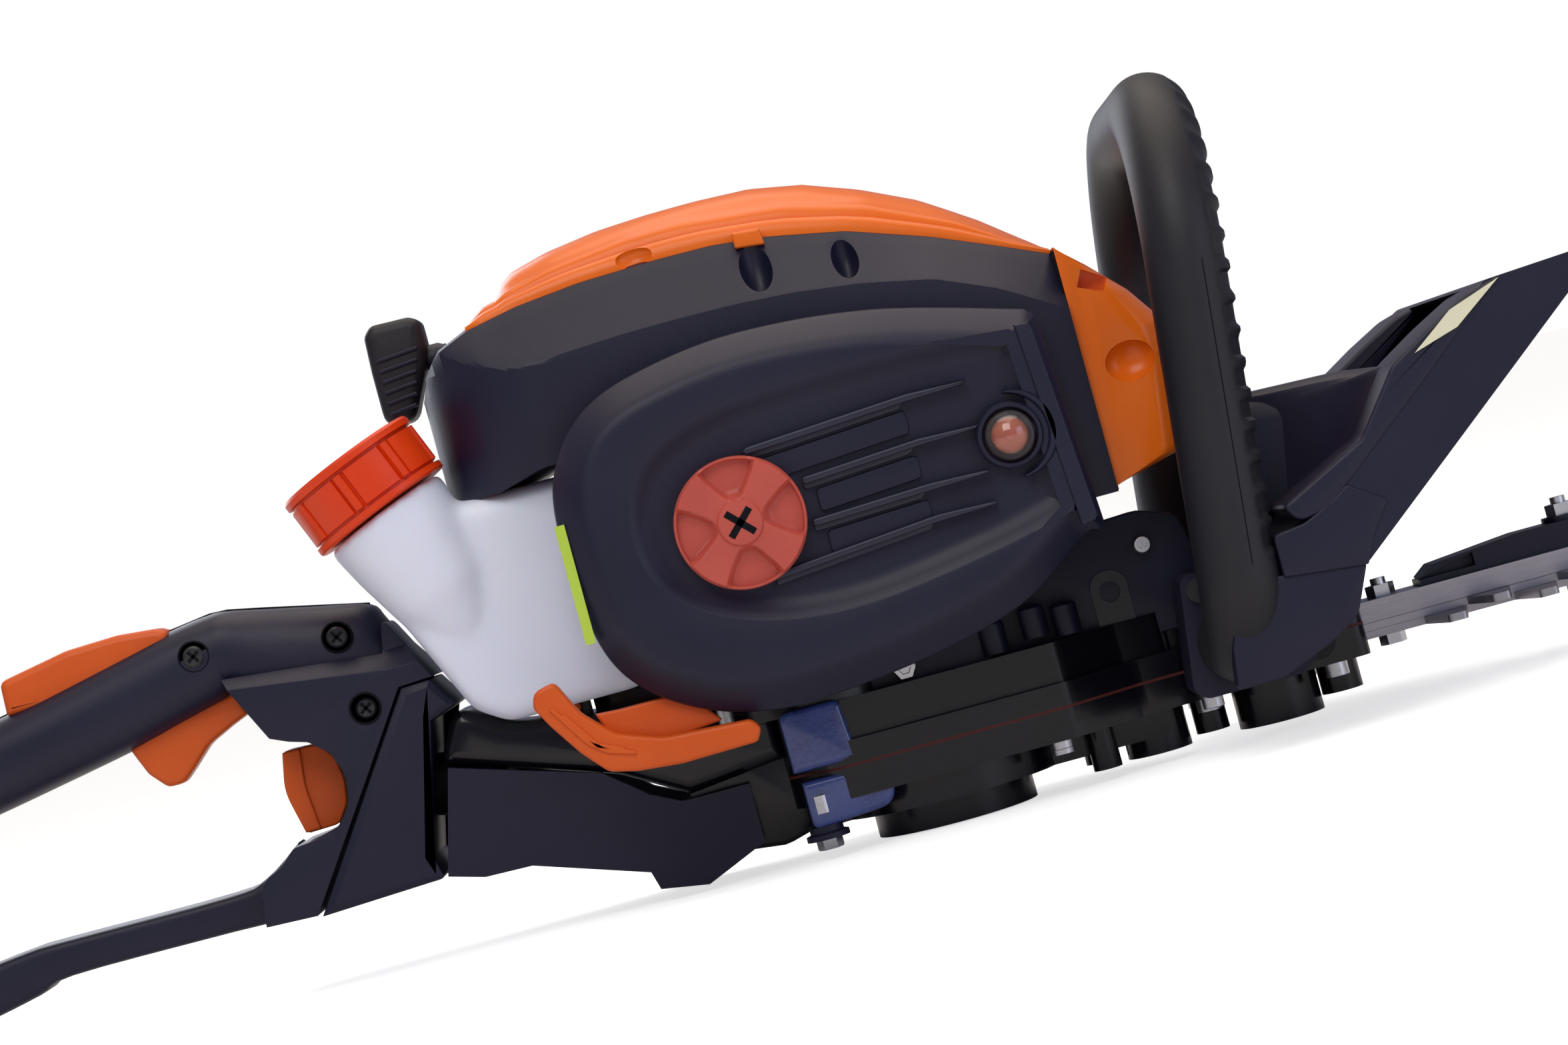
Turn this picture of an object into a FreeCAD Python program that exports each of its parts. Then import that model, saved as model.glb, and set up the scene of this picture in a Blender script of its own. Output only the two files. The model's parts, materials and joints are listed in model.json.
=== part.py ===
"""Petrol hedge trimmer with a two-sided blade: the parametric model of its separate pieces.

X points forward along the blade, Y to the machine's left and Z up; the machine stands on its
gear case at Z = 0. The station x = 0 of the drawing lies beside the crankshaft, and the last
step moves every piece by the sheet's frame_shift, so that the origin ends up under the middle.
"""

import FreeCAD
import Part
import math
import os
import re
import Sketcher

V = FreeCAD.Vector
X, Y, Z = V(1, 0, 0), V(0, 1, 0), V(0, 0, 1)

# ---------------------------------------------------------------- driving dimensions (mm, degrees)
SIZES = {
    "frame_shift": -195.33,
    # drive
    "crank_x": -7.5, "gear_x": 35.0, "gear_module": 1.25, "gear_teeth": 56, "pinion_teeth": 12,
    "gear_bottom": 24.0, "gear_width": 7.0, "shaft_radius": 6.0, "throw": 7.0, "disc_radius": 10.0,
    "rod_thickness": 5.0, "rod_lower_bottom": 18.2, "rod_upper_bottom": 31.8,
    "rod_ring_inner": 24.6, "rod_ring_outer": 28.0,
    # blades and bar
    "blade_bottom": 24.5, "blade_thickness": 2.9, "blade_gap": 0.1, "blade_rear": 84.0, "blade_front": 786.0,
    "blade_half_width": 13.0, "tooth_pitch": 35.0, "tooth_first": 232.0, "tooth_count": 16, "tooth_tip": 42.0,
    "tooth_tip_width": 7.0, "tooth_root_width": 17.0, "bolt_pitch": 74.0, "bolt_first": 212.0, "bolt_count": 8,
    "blade_bolt_radius": 3.0, "slot_length": 22.0, "bar_bottom": 30.6, "bar_thickness": 8.0,
    "bar_width": 28.0, "bar_rear": 148.0, "bar_front": 792.0,
    # gear case
    "case_bottom": 10.0, "gasket_bottom": 31.4, "gasket_thickness": 1.0, "case_flange": 9.0,
    "case_top": 56.0, "case_half_width": 46.0, "gear_room": 38.0,
    # engine
    "bore_axis_height": 115.0, "bore_radius": 17.0, "crankcase_bottom": 78.0, "crankcase_top": 152.0,
    "crankcase_half_width": 36.0, "flywheel_bottom": 172.0, "flywheel_radius": 52.0, "fan_height": 22.0,
    "pulley_bottom": 216.0, "pulley_radius": 27.0, "pulley_height": 12.0, "rope_radius": 1.75,
    "shroud_half_width": 64.0, "wall": 2.5,
    # rear handle
    "swivel_x": -147.0, "swivel_z": 62.0, "swivel_tilt": 15.0, "swivel_radius": 32.0, "swivel_gap": 1.6,
    "grip_width": 36.0, "handle_body_width": 60.0, "lower_bar_width": 28.0, "handle_wall": 3.0,
    "lever_width": 13.0, "lock_width": 20.0, "lever_pin_radius": 2.0, "pin_clearance": 0.06,
    # front handle and guard
    "front_tube_radius": 15.0, "front_handle_half": 100.0, "front_handle_lean": 5.8,
    "front_handle_top": 236.0, "front_handle_bottom": 40.0, "front_bend": 58.0,
    "guard_half_width": 108.0, "guard_depth": 22.0, "guard_skin": 3.0,
    # air filter side
    "cover_back": -66.0, "cover_face": -98.0, "knob_radius": 24.0, "knob_x": -15.0, "knob_z": 129.0,
    "primer_x": 86.0, "primer_z": 134.0, "primer_radius": 9.0,
    # tank
    "tank_half_width": 52.0, "cap_radius": 28.0, "cap_height": 24.0, "cap_y": -42.0, "cap_tilt": -22.0,
}

doc = FreeCAD.newDocument("HedgeTrimmer")
sheet = doc.addObject("Spreadsheet::Sheet", "Sizes")
for row, (alias, value) in enumerate(SIZES.items(), 1):
    sheet.set(f"A{row}", alias)
    sheet.set(f"B{row}", str(value))
    sheet.setAlias(f"B{row}", alias)
doc.recompute()

PIECES = {}


# ---------------------------------------------------------------- small helpers
def size(alias):
    """The number that the sheet holds under an alias."""
    return float(sheet.get(alias))


def expression(text):
    """An expression on the sheet from one written with bare aliases, such as "bar_width / 2"."""
    return re.sub(r"[a-z]\w*", lambda m: "Sizes." + m[0] if m[0] in SIZES else m[0], str(text))


def bind(item, **properties):
    """Binds properties of an object to expressions on the sheet."""
    for name, text in properties.items():
        item.setExpression(name.replace("__", "."), expression(text))
    return item


def place(item, x="0", y="0", z="0", rotation=None):
    """Puts an object at a place whose coordinates are expressions on the sheet."""
    if rotation is not None:
        item.Placement = FreeCAD.Placement(V(), rotation)
    return bind(item, Placement__Base__x=x, Placement__Base__y=y, Placement__Base__z=z)


def turn(direction):
    """The rotation that carries +Z to a direction."""
    return FreeCAD.Rotation(Z, direction)


def cylinder(name, radius, height, x="0", y="0", z="0", along=Z):
    """A Part::Cylinder that starts at a place and runs along a direction."""
    item = bind(doc.addObject("Part::Cylinder", name), Radius=radius, Height=height)
    return place(item, x, y, z, turn(along))


def cone(name, radius1, radius2, height, x="0", y="0", z="0", along=Z):
    """A Part::Cone that starts at a place and runs along a direction."""
    item = bind(doc.addObject("Part::Cone", name), Radius1=radius1, Radius2=radius2, Height=height)
    return place(item, x, y, z, turn(along))


def block(name, length, width, height, x="0", y="0", z="0", rotation=None):
    """A Part::Box from its low corner."""
    item = bind(doc.addObject("Part::Box", name), Length=length, Width=width, Height=height)
    return place(item, x, y, z, rotation)


def cut(name, base, *tools):
    """A Part::Cut of one object by one or more tools."""
    item = doc.addObject("Part::Cut", name)
    item.Base = base
    item.Tool = tools[0] if len(tools) == 1 else fuse(name + "_tools", *tools)
    return item


def fuse(name, *items):
    """A Part::MultiFuse of two or more objects."""
    item = doc.addObject("Part::MultiFuse", name)
    item.Shapes = list(items)
    return item


def common(name, first, second):
    """A Part::Common of two objects."""
    item = doc.addObject("Part::Common", name)
    item.Base, item.Tool = first, second
    return item


def group(name, items):
    """Separate solids of identical pieces, kept together as one compound."""
    item = doc.addObject("Part::Compound", name)
    item.Links = list(items)
    return item


def solid(name, shape):
    """A Part::Feature, for a shape that no sketch or primitive gives."""
    item = doc.addObject("Part::Feature", name)
    item.Shape = shape
    return item


def rounded(points):
    """Line and arc geometry of a closed outline; a corner is (u, v) or (u, v, radius)."""
    corners = [(V(p[0], p[1], 0), p[2] if len(p) > 2 else 0.0) for p in points]
    starts, arcs, ends = [], [], []
    for i, (corner, radius) in enumerate(corners):
        before = (corners[i - 1][0] - corner).normalize()
        after = (corners[(i + 1) % len(corners)][0] - corner).normalize()
        half = before.getAngle(after) / 2
        if radius <= 0 or half > math.pi / 2 - 0.01:
            starts.append(corner)
            ends.append(corner)
            arcs.append(None)
            continue
        reach = radius / math.tan(half)
        first, last = corner + before * reach, corner + after * reach
        middle_way = (before + after).normalize()
        middle = corner + middle_way * (radius / math.sin(half) - radius)
        starts.append(first)
        ends.append(last)
        turning = (middle - first).cross(last - middle).z
        arcs.append(Part.Arc(first, middle, last) if turning > 0 else Part.Arc(last, middle, first))
    geometry = []
    for i, arc in enumerate(arcs):
        if arc is not None:
            geometry.append(arc)
        following = starts[(i + 1) % len(starts)]
        run = corners[(i + 1) % len(corners)][0] - corners[i][0]
        if (following - ends[i]).dot(run) < -1e-6:
            raise ValueError(f"corner radii overlap near {points[i]}")
        if ends[i].distanceToPoint(following) > 1e-6:
            geometry.append(Part.LineSegment(ends[i], following))
    return geometry


def plane_of(body, role):
    """One of a body's own origin planes."""
    return next(f for f in body.Origin.OriginFeatures if f.Role == role)


def attach(body, name, role, offset="0"):
    """A sketch on one of the body's origin planes, moved along the plane's normal."""
    sketch = body.newObject("Sketcher::SketchObject", name)
    sketch.AttachmentSupport = [(plane_of(body, role), "")]
    sketch.MapMode = "FlatFace"
    return bind(sketch, AttachmentOffset__Base__z=offset)


def draw(sketch, outline):
    """Adds a closed outline to a sketch, its ends held together by constraints."""
    first = sketch.GeometryCount
    sketch.addGeometry(rounded(outline), False)
    ends = [(g.StartPoint, g.EndPoint) for g in sketch.Geometry[first:]]
    joints = []
    for i, here in enumerate(ends):
        j = (i + 1) % len(ends)
        a, b = min(((a, b) for a in (0, 1) for b in (0, 1)),
                   key=lambda pair: here[pair[0]].distanceToPoint(ends[j][pair[1]]))
        joints.append(Sketcher.Constraint("Coincident", first + i, a + 1, first + j, b + 1))
    sketch.addConstraint(joints)


def draw_circle(sketch, u, v, radius):
    """Adds a circle whose centre and radius follow the sheet."""
    index = sketch.addGeometry(Part.Circle(V(0, 0, 0), Z, 1.0), False)
    for kind, args, text in (("DistanceX", (-1, 1, index, 3), u), ("DistanceY", (-1, 1, index, 3), v)):
        constraint = sketch.addConstraint(Sketcher.Constraint(kind, *args, 1.0))
        sketch.setExpression(f"Constraints[{constraint}]", expression(text))
    constraint = sketch.addConstraint(Sketcher.Constraint("Radius", index, 1.0))
    sketch.setExpression(f"Constraints[{constraint}]", expression(radius))


FACING = {"XY_Plane": 1, "XZ_Plane": -1, "YZ_Plane": 1}


def pad(body, name, role, middle, thickness, outlines=(), circles=()):
    """Pads outlines and circles evenly both ways from a plane offset to its middle."""
    sketch = attach(body, name + "_sketch", role, f"({middle}) * {FACING[role]}")
    for outline in outlines:
        draw(sketch, outline)
    for circle in circles:
        draw_circle(sketch, *circle)
    feature = body.newObject("PartDesign::Pad", name)
    feature.Profile = sketch
    feature.SideType = "Symmetric"
    return bind(feature, Length=thickness)


def pocket(body, name, role, middle, thickness, outlines=(), circles=()):
    """Cuts outlines and circles evenly both ways from a plane offset to its middle."""
    sketch = attach(body, name + "_sketch", role, f"({middle}) * {FACING[role]}")
    for outline in outlines:
        draw(sketch, outline)
    for circle in circles:
        draw_circle(sketch, *circle)
    doc.recompute()
    before = body.Shape.Volume
    feature = body.newObject("PartDesign::Pocket", name)
    feature.Profile = sketch
    feature.SideType = "Symmetric"
    bind(feature, Length=thickness)
    doc.recompute()
    if body.Shape.Volume > before - 1e-3:
        raise RuntimeError(f"{body.Label}: pocket {name} cuts nothing")
    return feature


def slab(name, outline, role, middle, thickness, holes=(), circles=()):
    """A body padded from one outline, with inner outlines and circles left open."""
    body = doc.addObject("PartDesign::Body", name)
    pad(body, name + "_pad", role, middle, thickness, [outline, *holes], circles)
    return body


def edges_where(shape, test):
    """Names of the edges whose middle point and direction pass a test."""
    names = []
    for i, edge in enumerate(shape.Edges, 1):
        middle = edge.valueAt((edge.FirstParameter + edge.LastParameter) / 2)
        if test(edge, middle):
            names.append(f"Edge{i}")
    return names


def ease(body, kind, amount, test):
    """Fillets or chamfers the edges of a body's tip that pass a test."""
    doc.recompute()
    base = body.Tip
    names = edges_where(base.Shape, test)
    feature = body.newObject("PartDesign::" + kind, body.Label + "_" + kind.lower())
    feature.Base = (base, names)
    bind(feature, **{"Radius" if kind == "Fillet" else "Size": amount})
    return feature


def side_edges(half_width):
    """A test for edges that lie on a slab's two side faces, y = plus or minus a half width."""
    return lambda edge, middle: abs(abs(middle.y) - half_width) < 0.01


def inset(points, distance):
    """The outline moved inward by a distance, for a hollow of even wall."""
    count = len(points)
    area = sum(points[i - 1][0] * points[i][1] - points[i][0] * points[i - 1][1] for i in range(count))
    side = distance if area > 0 else -distance
    lines = []
    for i in range(count):
        a, b = V(*points[i][:2], 0), V(*points[(i + 1) % count][:2], 0)
        way = (b - a).normalize()
        lines.append((a + V(-way.y, way.x, 0) * side, way))
    moved = []
    for i in range(count):
        (p, d), (q, e) = lines[i - 1], lines[i]
        cross = d.x * e.y - d.y * e.x
        corner = q if abs(cross) < 1e-6 else p + d * (((q.x - p.x) * e.y - (q.y - p.y) * e.x) / cross)
        radius = points[i][2] if len(points[i]) > 2 else 0.0
        moved.append((corner.x, corner.y, max(radius - distance, 0.0)))
    return moved


def piece(label, item):
    """Registers an object as a sub-part of the machine and moves it into the machine's frame."""
    item.Label = label
    own = dict((path.lstrip("."), text) for path, text in item.ExpressionEngine).get("Placement.Base.x", "0")
    item.setExpression("Placement.Base.x", f"({own}) + Sizes.frame_shift")
    PIECES[label] = item
    return item


# ---------------------------------------------------------------- gear case
CASE = [(-24, -24, 8), (-4, -46, 14), (84, -46, 16), (112, -30, 10), (148, -24, 4), (200, -24, 5),
        (200, 24, 5), (148, 24, 4), (112, 30, 10), (84, 46, 16), (-4, 46, 14), (-24, 24, 8)]
CASE_BOLTS = [(x, y) for x, y in ((-17, 18), (78, 38), (136, 19.5), (186, 19.5)) for y in (y, -y)]


def channel(x1, x2, half):
    """A straight channel's plan outline."""
    return [(x1, -half), (x2, -half), (x2, half), (x1, half)]


def bolt_circles(radius):
    """Circles for the gear case bolts."""
    return [(str(x), str(y), radius) for x, y in CASE_BOLTS]


def gearbox_lower():
    """The lower cover: gear room, rod and blade channels, bearing seats and round bosses below."""
    body = doc.addObject("PartDesign::Body", "gearbox_lower")
    pad(body, "lower_flange", "XY_Plane", "(20 + gasket_bottom) / 2", "gasket_bottom - 20", [CASE])
    pad(body, "lower_pan", "XY_Plane", "(case_bottom + 21) / 2", "21 - case_bottom", [], [("gear_x", "0", "gear_room + 4")])
    pad(body, "lower_nose", "XY_Plane", "(case_bottom + 21) / 2", "21 - case_bottom", [], [("crank_x", "0", "15")])
    pad(body, "lower_keel", "XY_Plane", "(case_bottom + 21) / 2", "21 - case_bottom", [channel(35, 122, 14)])
    pad(body, "lower_boss", "XY_Plane", "6", "12", [], [("gear_x", "0", "31")])
    for i, (x, y, r, low) in enumerate(((115.5, 0, 12.5, 3.5), (163.5, 0, 16.5, 3.5), (188.5, 0, 8, 8),
                                        (93.5, 20, 5.5, 4), (93.5, -20, 5.5, 4), (137, 0, 6.5, 6))):
        pad(body, f"lower_stub_{i}", "XY_Plane", f"({low} + 21) / 2", f"21 - {low}", [], [(str(x), str(y), str(r))])
    pocket(body, "lower_room", "XY_Plane", "24.5", "14", [], [("gear_x", "0", "gear_room")])
    pocket(body, "lower_pinion_room", "XY_Plane", "24.5", "14", [], [("crank_x", "0", "10.5")])
    pocket(body, "lower_rod_channel", "XY_Plane", "24.5", "14", [channel(60, 120, 9.5)])
    pocket(body, "lower_blade_channel", "XY_Plane", "29.1", "10", [channel(60, 210, 13.6)])
    pocket(body, "lower_bar_channel", "XY_Plane", "bar_bottom + 2", "4", [channel(147.7, 210, 14.05)])
    pocket(body, "lower_gear_seat", "XY_Plane", "13.5", "9", [], [("gear_x", "0", "11.05")])
    pocket(body, "lower_pinion_seat", "XY_Plane", "15.5", "7", [], [("crank_x", "0", "8.05")])
    pocket(body, "lower_bolt_holes", "XY_Plane", "30", "30", [], bolt_circles("2.6"))
    return piece("gearbox_lower", body)


def gearbox_gasket():
    """The thin gasket between the two halves of the gear case."""
    body = slab("gearbox_gasket", CASE, "XY_Plane", "gasket_bottom + gasket_thickness / 2", "gasket_thickness")
    pocket(body, "gasket_room", "XY_Plane", "gasket_bottom", "5", [], [("gear_x", "0", "gear_room")])
    pocket(body, "gasket_nose", "XY_Plane", "gasket_bottom", "5", [], [("crank_x", "0", "10.5")])
    pocket(body, "gasket_channel", "XY_Plane", "gasket_bottom", "5", [channel(60, 210, 14.05)])
    pocket(body, "gasket_holes", "XY_Plane", "gasket_bottom", "5", [], bolt_circles("2.6"))
    return piece("gearbox_gasket", body)


def gearbox_upper():
    """The upper housing: flange, body, clutch ring and the ears for the front handle."""
    body = doc.addObject("PartDesign::Body", "gearbox_upper")
    flange = "gasket_bottom + gasket_thickness"
    pad(body, "upper_flange", "XY_Plane", f"({flange} + 41) / 2", f"41 - ({flange})", [CASE])
    roof = [(-20, -22, 6), (-2, -40, 10), (84, -40, 12), (108, -26, 6), (128, -22, 6), (128, 22, 6),
            (108, 26, 6), (84, 40, 12), (-2, 40, 10), (-20, 22, 6)]
    pad(body, "upper_body", "XY_Plane", "(40 + case_top) / 2", "case_top - 40", [roof])
    pad(body, "upper_snout", "XY_Plane", "44", "8", [channel(120, 196, 17)])
    pad(body, "clutch_ring", "XY_Plane", "(case_top + crankcase_bottom) / 2 - 0.5",
        "crankcase_bottom - case_top + 1", [], [("crank_x", "0", "38")])
    ear = [(104, 50), (104, 76, 6.5), (118, 76, 6.5), (118, 50)]
    for side in (-1, 1):
        pad(body, f"ear_{side + 1}", "XZ_Plane", f"{side} * 20", "6", [ear])
    pocket(body, "ear_holes", "XZ_Plane", "0", "100", [], [("111", "68", "4")])
    pocket(body, "clutch_room", "XY_Plane", "68.5", "22.4", [], [("crank_x", "0", "31.5")])
    pocket(body, "upper_room", "XY_Plane", "35.4", "6.2", [], [("gear_x", "0", "gear_room")])
    pocket(body, "upper_pinion_room", "XY_Plane", "35.4", "6.2", [], [("crank_x", "0", "10.5")])
    pocket(body, "upper_rod_channel", "XY_Plane", "35.4", "6.2", [channel(60, 150, 9.5)])
    pocket(body, "upper_bar_channel", "XY_Plane", "bar_bottom + bar_thickness / 2", "bar_thickness + 0.02",
           [channel(147.7, 210, 14.05)])
    pocket(body, "upper_gear_seat", "XY_Plane", "42.5", "10", [], [("gear_x", "0", "11.05")])
    pocket(body, "upper_pinion_seat", "XY_Plane", "42", "12.4", [], [("crank_x", "0", "11.05")])
    pocket(body, "upper_shaft_hole", "XY_Plane", "52", "12", [], [("crank_x", "0", "7")])
    pocket(body, "upper_bolt_holes", "XY_Plane", "35", "8", [], bolt_circles("2.6"))
    return piece("gearbox_upper", body)


def ring(name, outer, inner, height, x, y, z, along=Z):
    """A plain ring, cut from two cylinders on the same axis."""
    hole = cylinder(name + "_hole", inner, f"({height}) + 2", along=along)
    for axis, text, part in (("x", x, along.x), ("y", y, along.y), ("z", z, along.z)):
        bind(hole, **{f"Placement__Base__{axis}": f"({text}) - {part:.6f}"})
    return cut(name, cylinder(name + "_disc", outer, height, x, y, z, along), hole)


def bolt(name, head, head_height, shank, length, x, y, z, way=Z, sides=0):
    """A bolt whose head starts at a place; the shank follows along the way."""
    if sides:
        top = bind(doc.addObject("Part::Prism", name + "_head"), Circumradius=head, Height=head_height)
        top.Polygon = sides
        place(top, x, y, z, turn(way))
    else:
        top = cylinder(name + "_head", head, head_height, x, y, z, way)
    stem = cylinder(name + "_shank", shank, f"({head_height}) + ({length})", x, y, z, way)
    return fuse(name, top, stem)


def gearbox_bolts():
    """Socket head screws that close the gear case from below."""
    bolts = [bolt(f"case_bolt_{i}", "4.4", "5", "2.5", "18.5", str(x), str(y), "15")
             for i, (x, y) in enumerate(CASE_BOLTS)]
    return piece("gearbox_bolts", group("gearbox_bolts", bolts))


# ---------------------------------------------------------------- gears, rods, blades
def tooth(teeth, module, thin, addendum):
    """One straight-sided gear tooth about the +X axis, rooted inside the gear's body."""
    pitch = teeth * module / 2
    half = math.pi * module / 4 - thin / 2
    slope = math.tan(math.radians(20))
    root, tip = pitch - 1.25 * module, pitch + addendum * module
    wide, narrow = half + slope * (pitch - root), half - slope * (tip - pitch)
    return [(root - 0.8, -wide), (root, -wide), (tip, -narrow), (tip, narrow), (root, wide), (root - 0.8, wide)]


def toothed(body, name, teeth, module, thin, addendum, middle, width):
    """Adds a ring of teeth to a body centred on its own Z axis."""
    one = pad(body, name + "_tooth", "XY_Plane", middle, width, [tooth(teeth, module, thin, addendum)])
    doc.recompute()
    pattern = body.newObject("PartDesign::PolarPattern", name + "_teeth")
    pattern.Originals = [one]
    pattern.Axis = (one.Profile[0], ["N_Axis"])
    pattern.Angle = 360
    pattern.Occurrences = teeth
    body.Tip = pattern
    return pattern


def drive_gear():
    """The driven gear with its shaft and the two eccentric discs."""
    body = doc.addObject("PartDesign::Body", "drive_gear")
    teeth, module = int(size("gear_teeth")), size("gear_module")
    root = "gear_module * (gear_teeth / 2 - 1.25)"
    middle = "gear_bottom + gear_width / 2"
    pad(body, "gear_disc", "XY_Plane", middle, "gear_width", [], [("0", "0", root)])
    toothed(body, "gear", teeth, module, 0.5, 0.85, middle, "gear_width")
    pad(body, "gear_shaft", "XY_Plane", "28.5", "37", [], [("0", "0", "shaft_radius")])
    pad(body, "lower_disc", "XY_Plane", "21.2", "6.4", [], [("throw", "0", "disc_radius")])
    pad(body, "upper_disc", "XY_Plane", "34", "6.4", [], [("-throw", "0", "disc_radius")])
    bind(body, Placement__Base__x="gear_x")
    return piece("drive_gear", body)


def pinion_shaft():
    """The pinion with the shaft that carries the clutch drum."""
    body = doc.addObject("PartDesign::Body", "pinion_shaft")
    teeth, module = int(size("pinion_teeth")), size("gear_module")
    middle = "gear_bottom + gear_width / 2"
    pad(body, "pinion_disc", "XY_Plane", middle, "gear_width", [], [("0", "0", "gear_module * (pinion_teeth / 2 - 1.25)")])
    toothed(body, "pinion", teeth, module, 0.5, 0.85, middle, "gear_width")
    pad(body, "pinion_foot", "XY_Plane", "18.75", "12.5", [], [("0", "0", "4")])
    pad(body, "pinion_stem", "XY_Plane", "44.7", "27.6", [], [("0", "0", "shaft_radius")])
    pad(body, "pinion_end", "XY_Plane", "59.5", "6", [], [("0", "0", "5")])
    pattern = body.Placement
    body.Placement = FreeCAD.Placement(pattern.Base, FreeCAD.Rotation(Z, 180 / teeth))
    bind(body, Placement__Base__x="crank_x")
    return body


def bearings():
    """The plain bearing rings of the two gear case shafts."""
    gear = [ring(f"gear_bearing_{i}", "11", "shaft_radius + 0.05", "6", "gear_x", "0", z)
            for i, z in enumerate(("9.5", "40.5"))]
    pinion = [ring("pinion_bearing_low", "8", "4.05", "5", "crank_x", "0", "12.1"),
              ring("pinion_bearing_high", "11", "shaft_radius + 0.05", "7", "crank_x", "0", "40.5")]
    piece("case_bearings", group("case_bearings", gear + pinion))


def clutch():
    """The clutch drum with the pinion shaft in it, and the shoes with their springs on the crankshaft."""
    shaft = pinion_shaft()
    cup = cylinder("drum_cup", "30", "15", "crank_x", "0", "58.6")
    room = cylinder("drum_room", "27.6", "20", "crank_x", "0", "61.2")
    hole = cylinder("drum_hole", "5.02", "10", "crank_x", "0", "55")
    piece("clutch_drum", group("clutch_drum", [shaft, cut("drum_bowl", cup, room, hole)]))
    disc = cylinder("shoe_disc", "26.8", "8", "crank_x", "0", "64.5")
    core = cylinder("shoe_core", "11", "10", "crank_x", "0", "63.5")
    gap = block("shoe_gap", "9", "80", "10", "crank_x - 4.5", "-40", "63.5")
    pockets = [cylinder(f"shoe_pocket_{i}", "2.6", "13", "crank_x - 6.5", str(y), "68.5", X)
               for i, y in enumerate((-19, 19))]
    shoes = cut("shoe_pair", disc, core, gap, *pockets)
    springs = [cylinder(f"shoe_spring_{i}", "2.5", "12.8", "crank_x - 6.4", str(y), "68.5", X)
               for i, y in enumerate((-19, 19))]
    piece("clutch_shoes", group("clutch_shoes", [shoes, *springs]))


def conrod(label, bottom, riser_bottom, riser_height):
    """A flat connecting rod whose ring surrounds an eccentric disc and whose neck meets its blade."""
    body = doc.addObject("PartDesign::Body", label)
    middle = f"{bottom} + rod_thickness / 2"
    pad(body, label + "_neck", "XY_Plane", middle, "rod_thickness", [channel(58, 110, 8)])
    pad(body, label + "_ring", "XY_Plane", middle, "rod_thickness", [], [("gear_x", "0", "rod_ring_outer")])
    pad(body, label + "_riser", "XY_Plane", f"{riser_bottom} + {riser_height} / 2", riser_height, [channel(92, 109, 8)])
    pocket(body, label + "_eye", "XY_Plane", middle, "rod_thickness + 2", [], [("gear_x", "0", "rod_ring_inner")])
    return piece(label, body)


def blade(label, bottom, first):
    """A toothed steel blade with long slots for the bolts."""
    body = doc.addObject("PartDesign::Body", label)
    middle = f"{bottom} + blade_thickness / 2"
    half, front = size("blade_half_width"), size("blade_front")
    strip = [(size("blade_rear"), -half, 2), (front - 18, -half, 12), (front, -5, 4), (front, 5, 4),
             (front - 18, half, 12), (size("blade_rear"), half, 2)]
    pad(body, label + "_strip", "XY_Plane", middle, "blade_thickness", [strip])
    root, tip, reach = size("tooth_root_width") / 2, size("tooth_tip_width") / 2, size("tooth_tip")
    pair = [(first - root, -half + 1), (first - tip, -reach, 2), (first + tip, -reach, 2), (first + root, -half + 1),
            (first + root, half - 1), (first + tip, reach, 2), (first - tip, reach, 2), (first - root, half - 1)]
    teeth = pad(body, label + "_tooth", "XY_Plane", middle, "blade_thickness", [pair])
    doc.recompute()
    row = body.newObject("PartDesign::LinearPattern", label + "_teeth")
    row.Originals = [teeth]
    row.Direction = (teeth.Profile[0], ["H_Axis"])
    bind(row, Length="tooth_pitch * (tooth_count - 1)")
    row.Occurrences = int(size("tooth_count"))
    body.Tip = row
    half_slot = size("slot_length") / 2
    slots = [[(x - half_slot, -3.4, 3.39), (x + half_slot, -3.4, 3.39), (x + half_slot, 3.4, 3.39), (x - half_slot, 3.4, 3.39)]
             for x in bolt_places()]
    pocket(body, label + "_slots", "XY_Plane", middle, "10", slots)
    return piece(label, body)


def bolt_places():
    """The stations of the blade bolts along the bar."""
    return [size("bolt_first") + i * size("bolt_pitch") for i in range(int(size("bolt_count")))]


def guide_bar():
    """The stiff bar above the blades."""
    front = size("bar_front")
    outline = [(size("bar_rear"), -14, 1), (front - 16, -14, 10), (front, -7, 5), (front, 7, 5), (front - 16, 14, 10),
               (size("bar_rear"), 14, 1)]
    body = slab("guide_bar", outline, "XY_Plane", "bar_bottom + bar_thickness / 2", "bar_thickness")
    pocket(body, "bar_holes", "XY_Plane", "34", "20", [], [(str(x), "0", "3.05") for x in bolt_places()])
    return piece("guide_bar", body)


def debris_deflector():
    """The black plastic strip along the top of the bar, with a round pad under every nut."""
    low, front = 38.6, size("bar_front") - 22
    side = [(226, low), (226, low + 2.5), (232, low + 7), (266, low + 10, 4), (front - 40, low + 10, 6), (front, low + 2, 1),
            (front, low)]
    body = slab("debris_deflector", side, "XZ_Plane", "0", "20")
    pads = [(str(x), "0", "8") for x in bolt_places()[1:]]
    pad(body, "deflector_pads", "XY_Plane", "44.6", "12", [], pads)
    ribs = [[(x + 12, low + 2.4), (x + 36, low + 2.4), (x + 36, low + 7.6)] for x in bolt_places()[:-1]]
    for side_y in (-8, 8):
        pocket(body, f"deflector_pockets_{side_y + 8}", "XZ_Plane", str(side_y), "6", ribs)
    pocket(body, "deflector_holes", "XY_Plane", "48", "30", [], [(str(x), "0", "3.05") for x in bolt_places()])
    return piece("debris_deflector", body)


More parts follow.
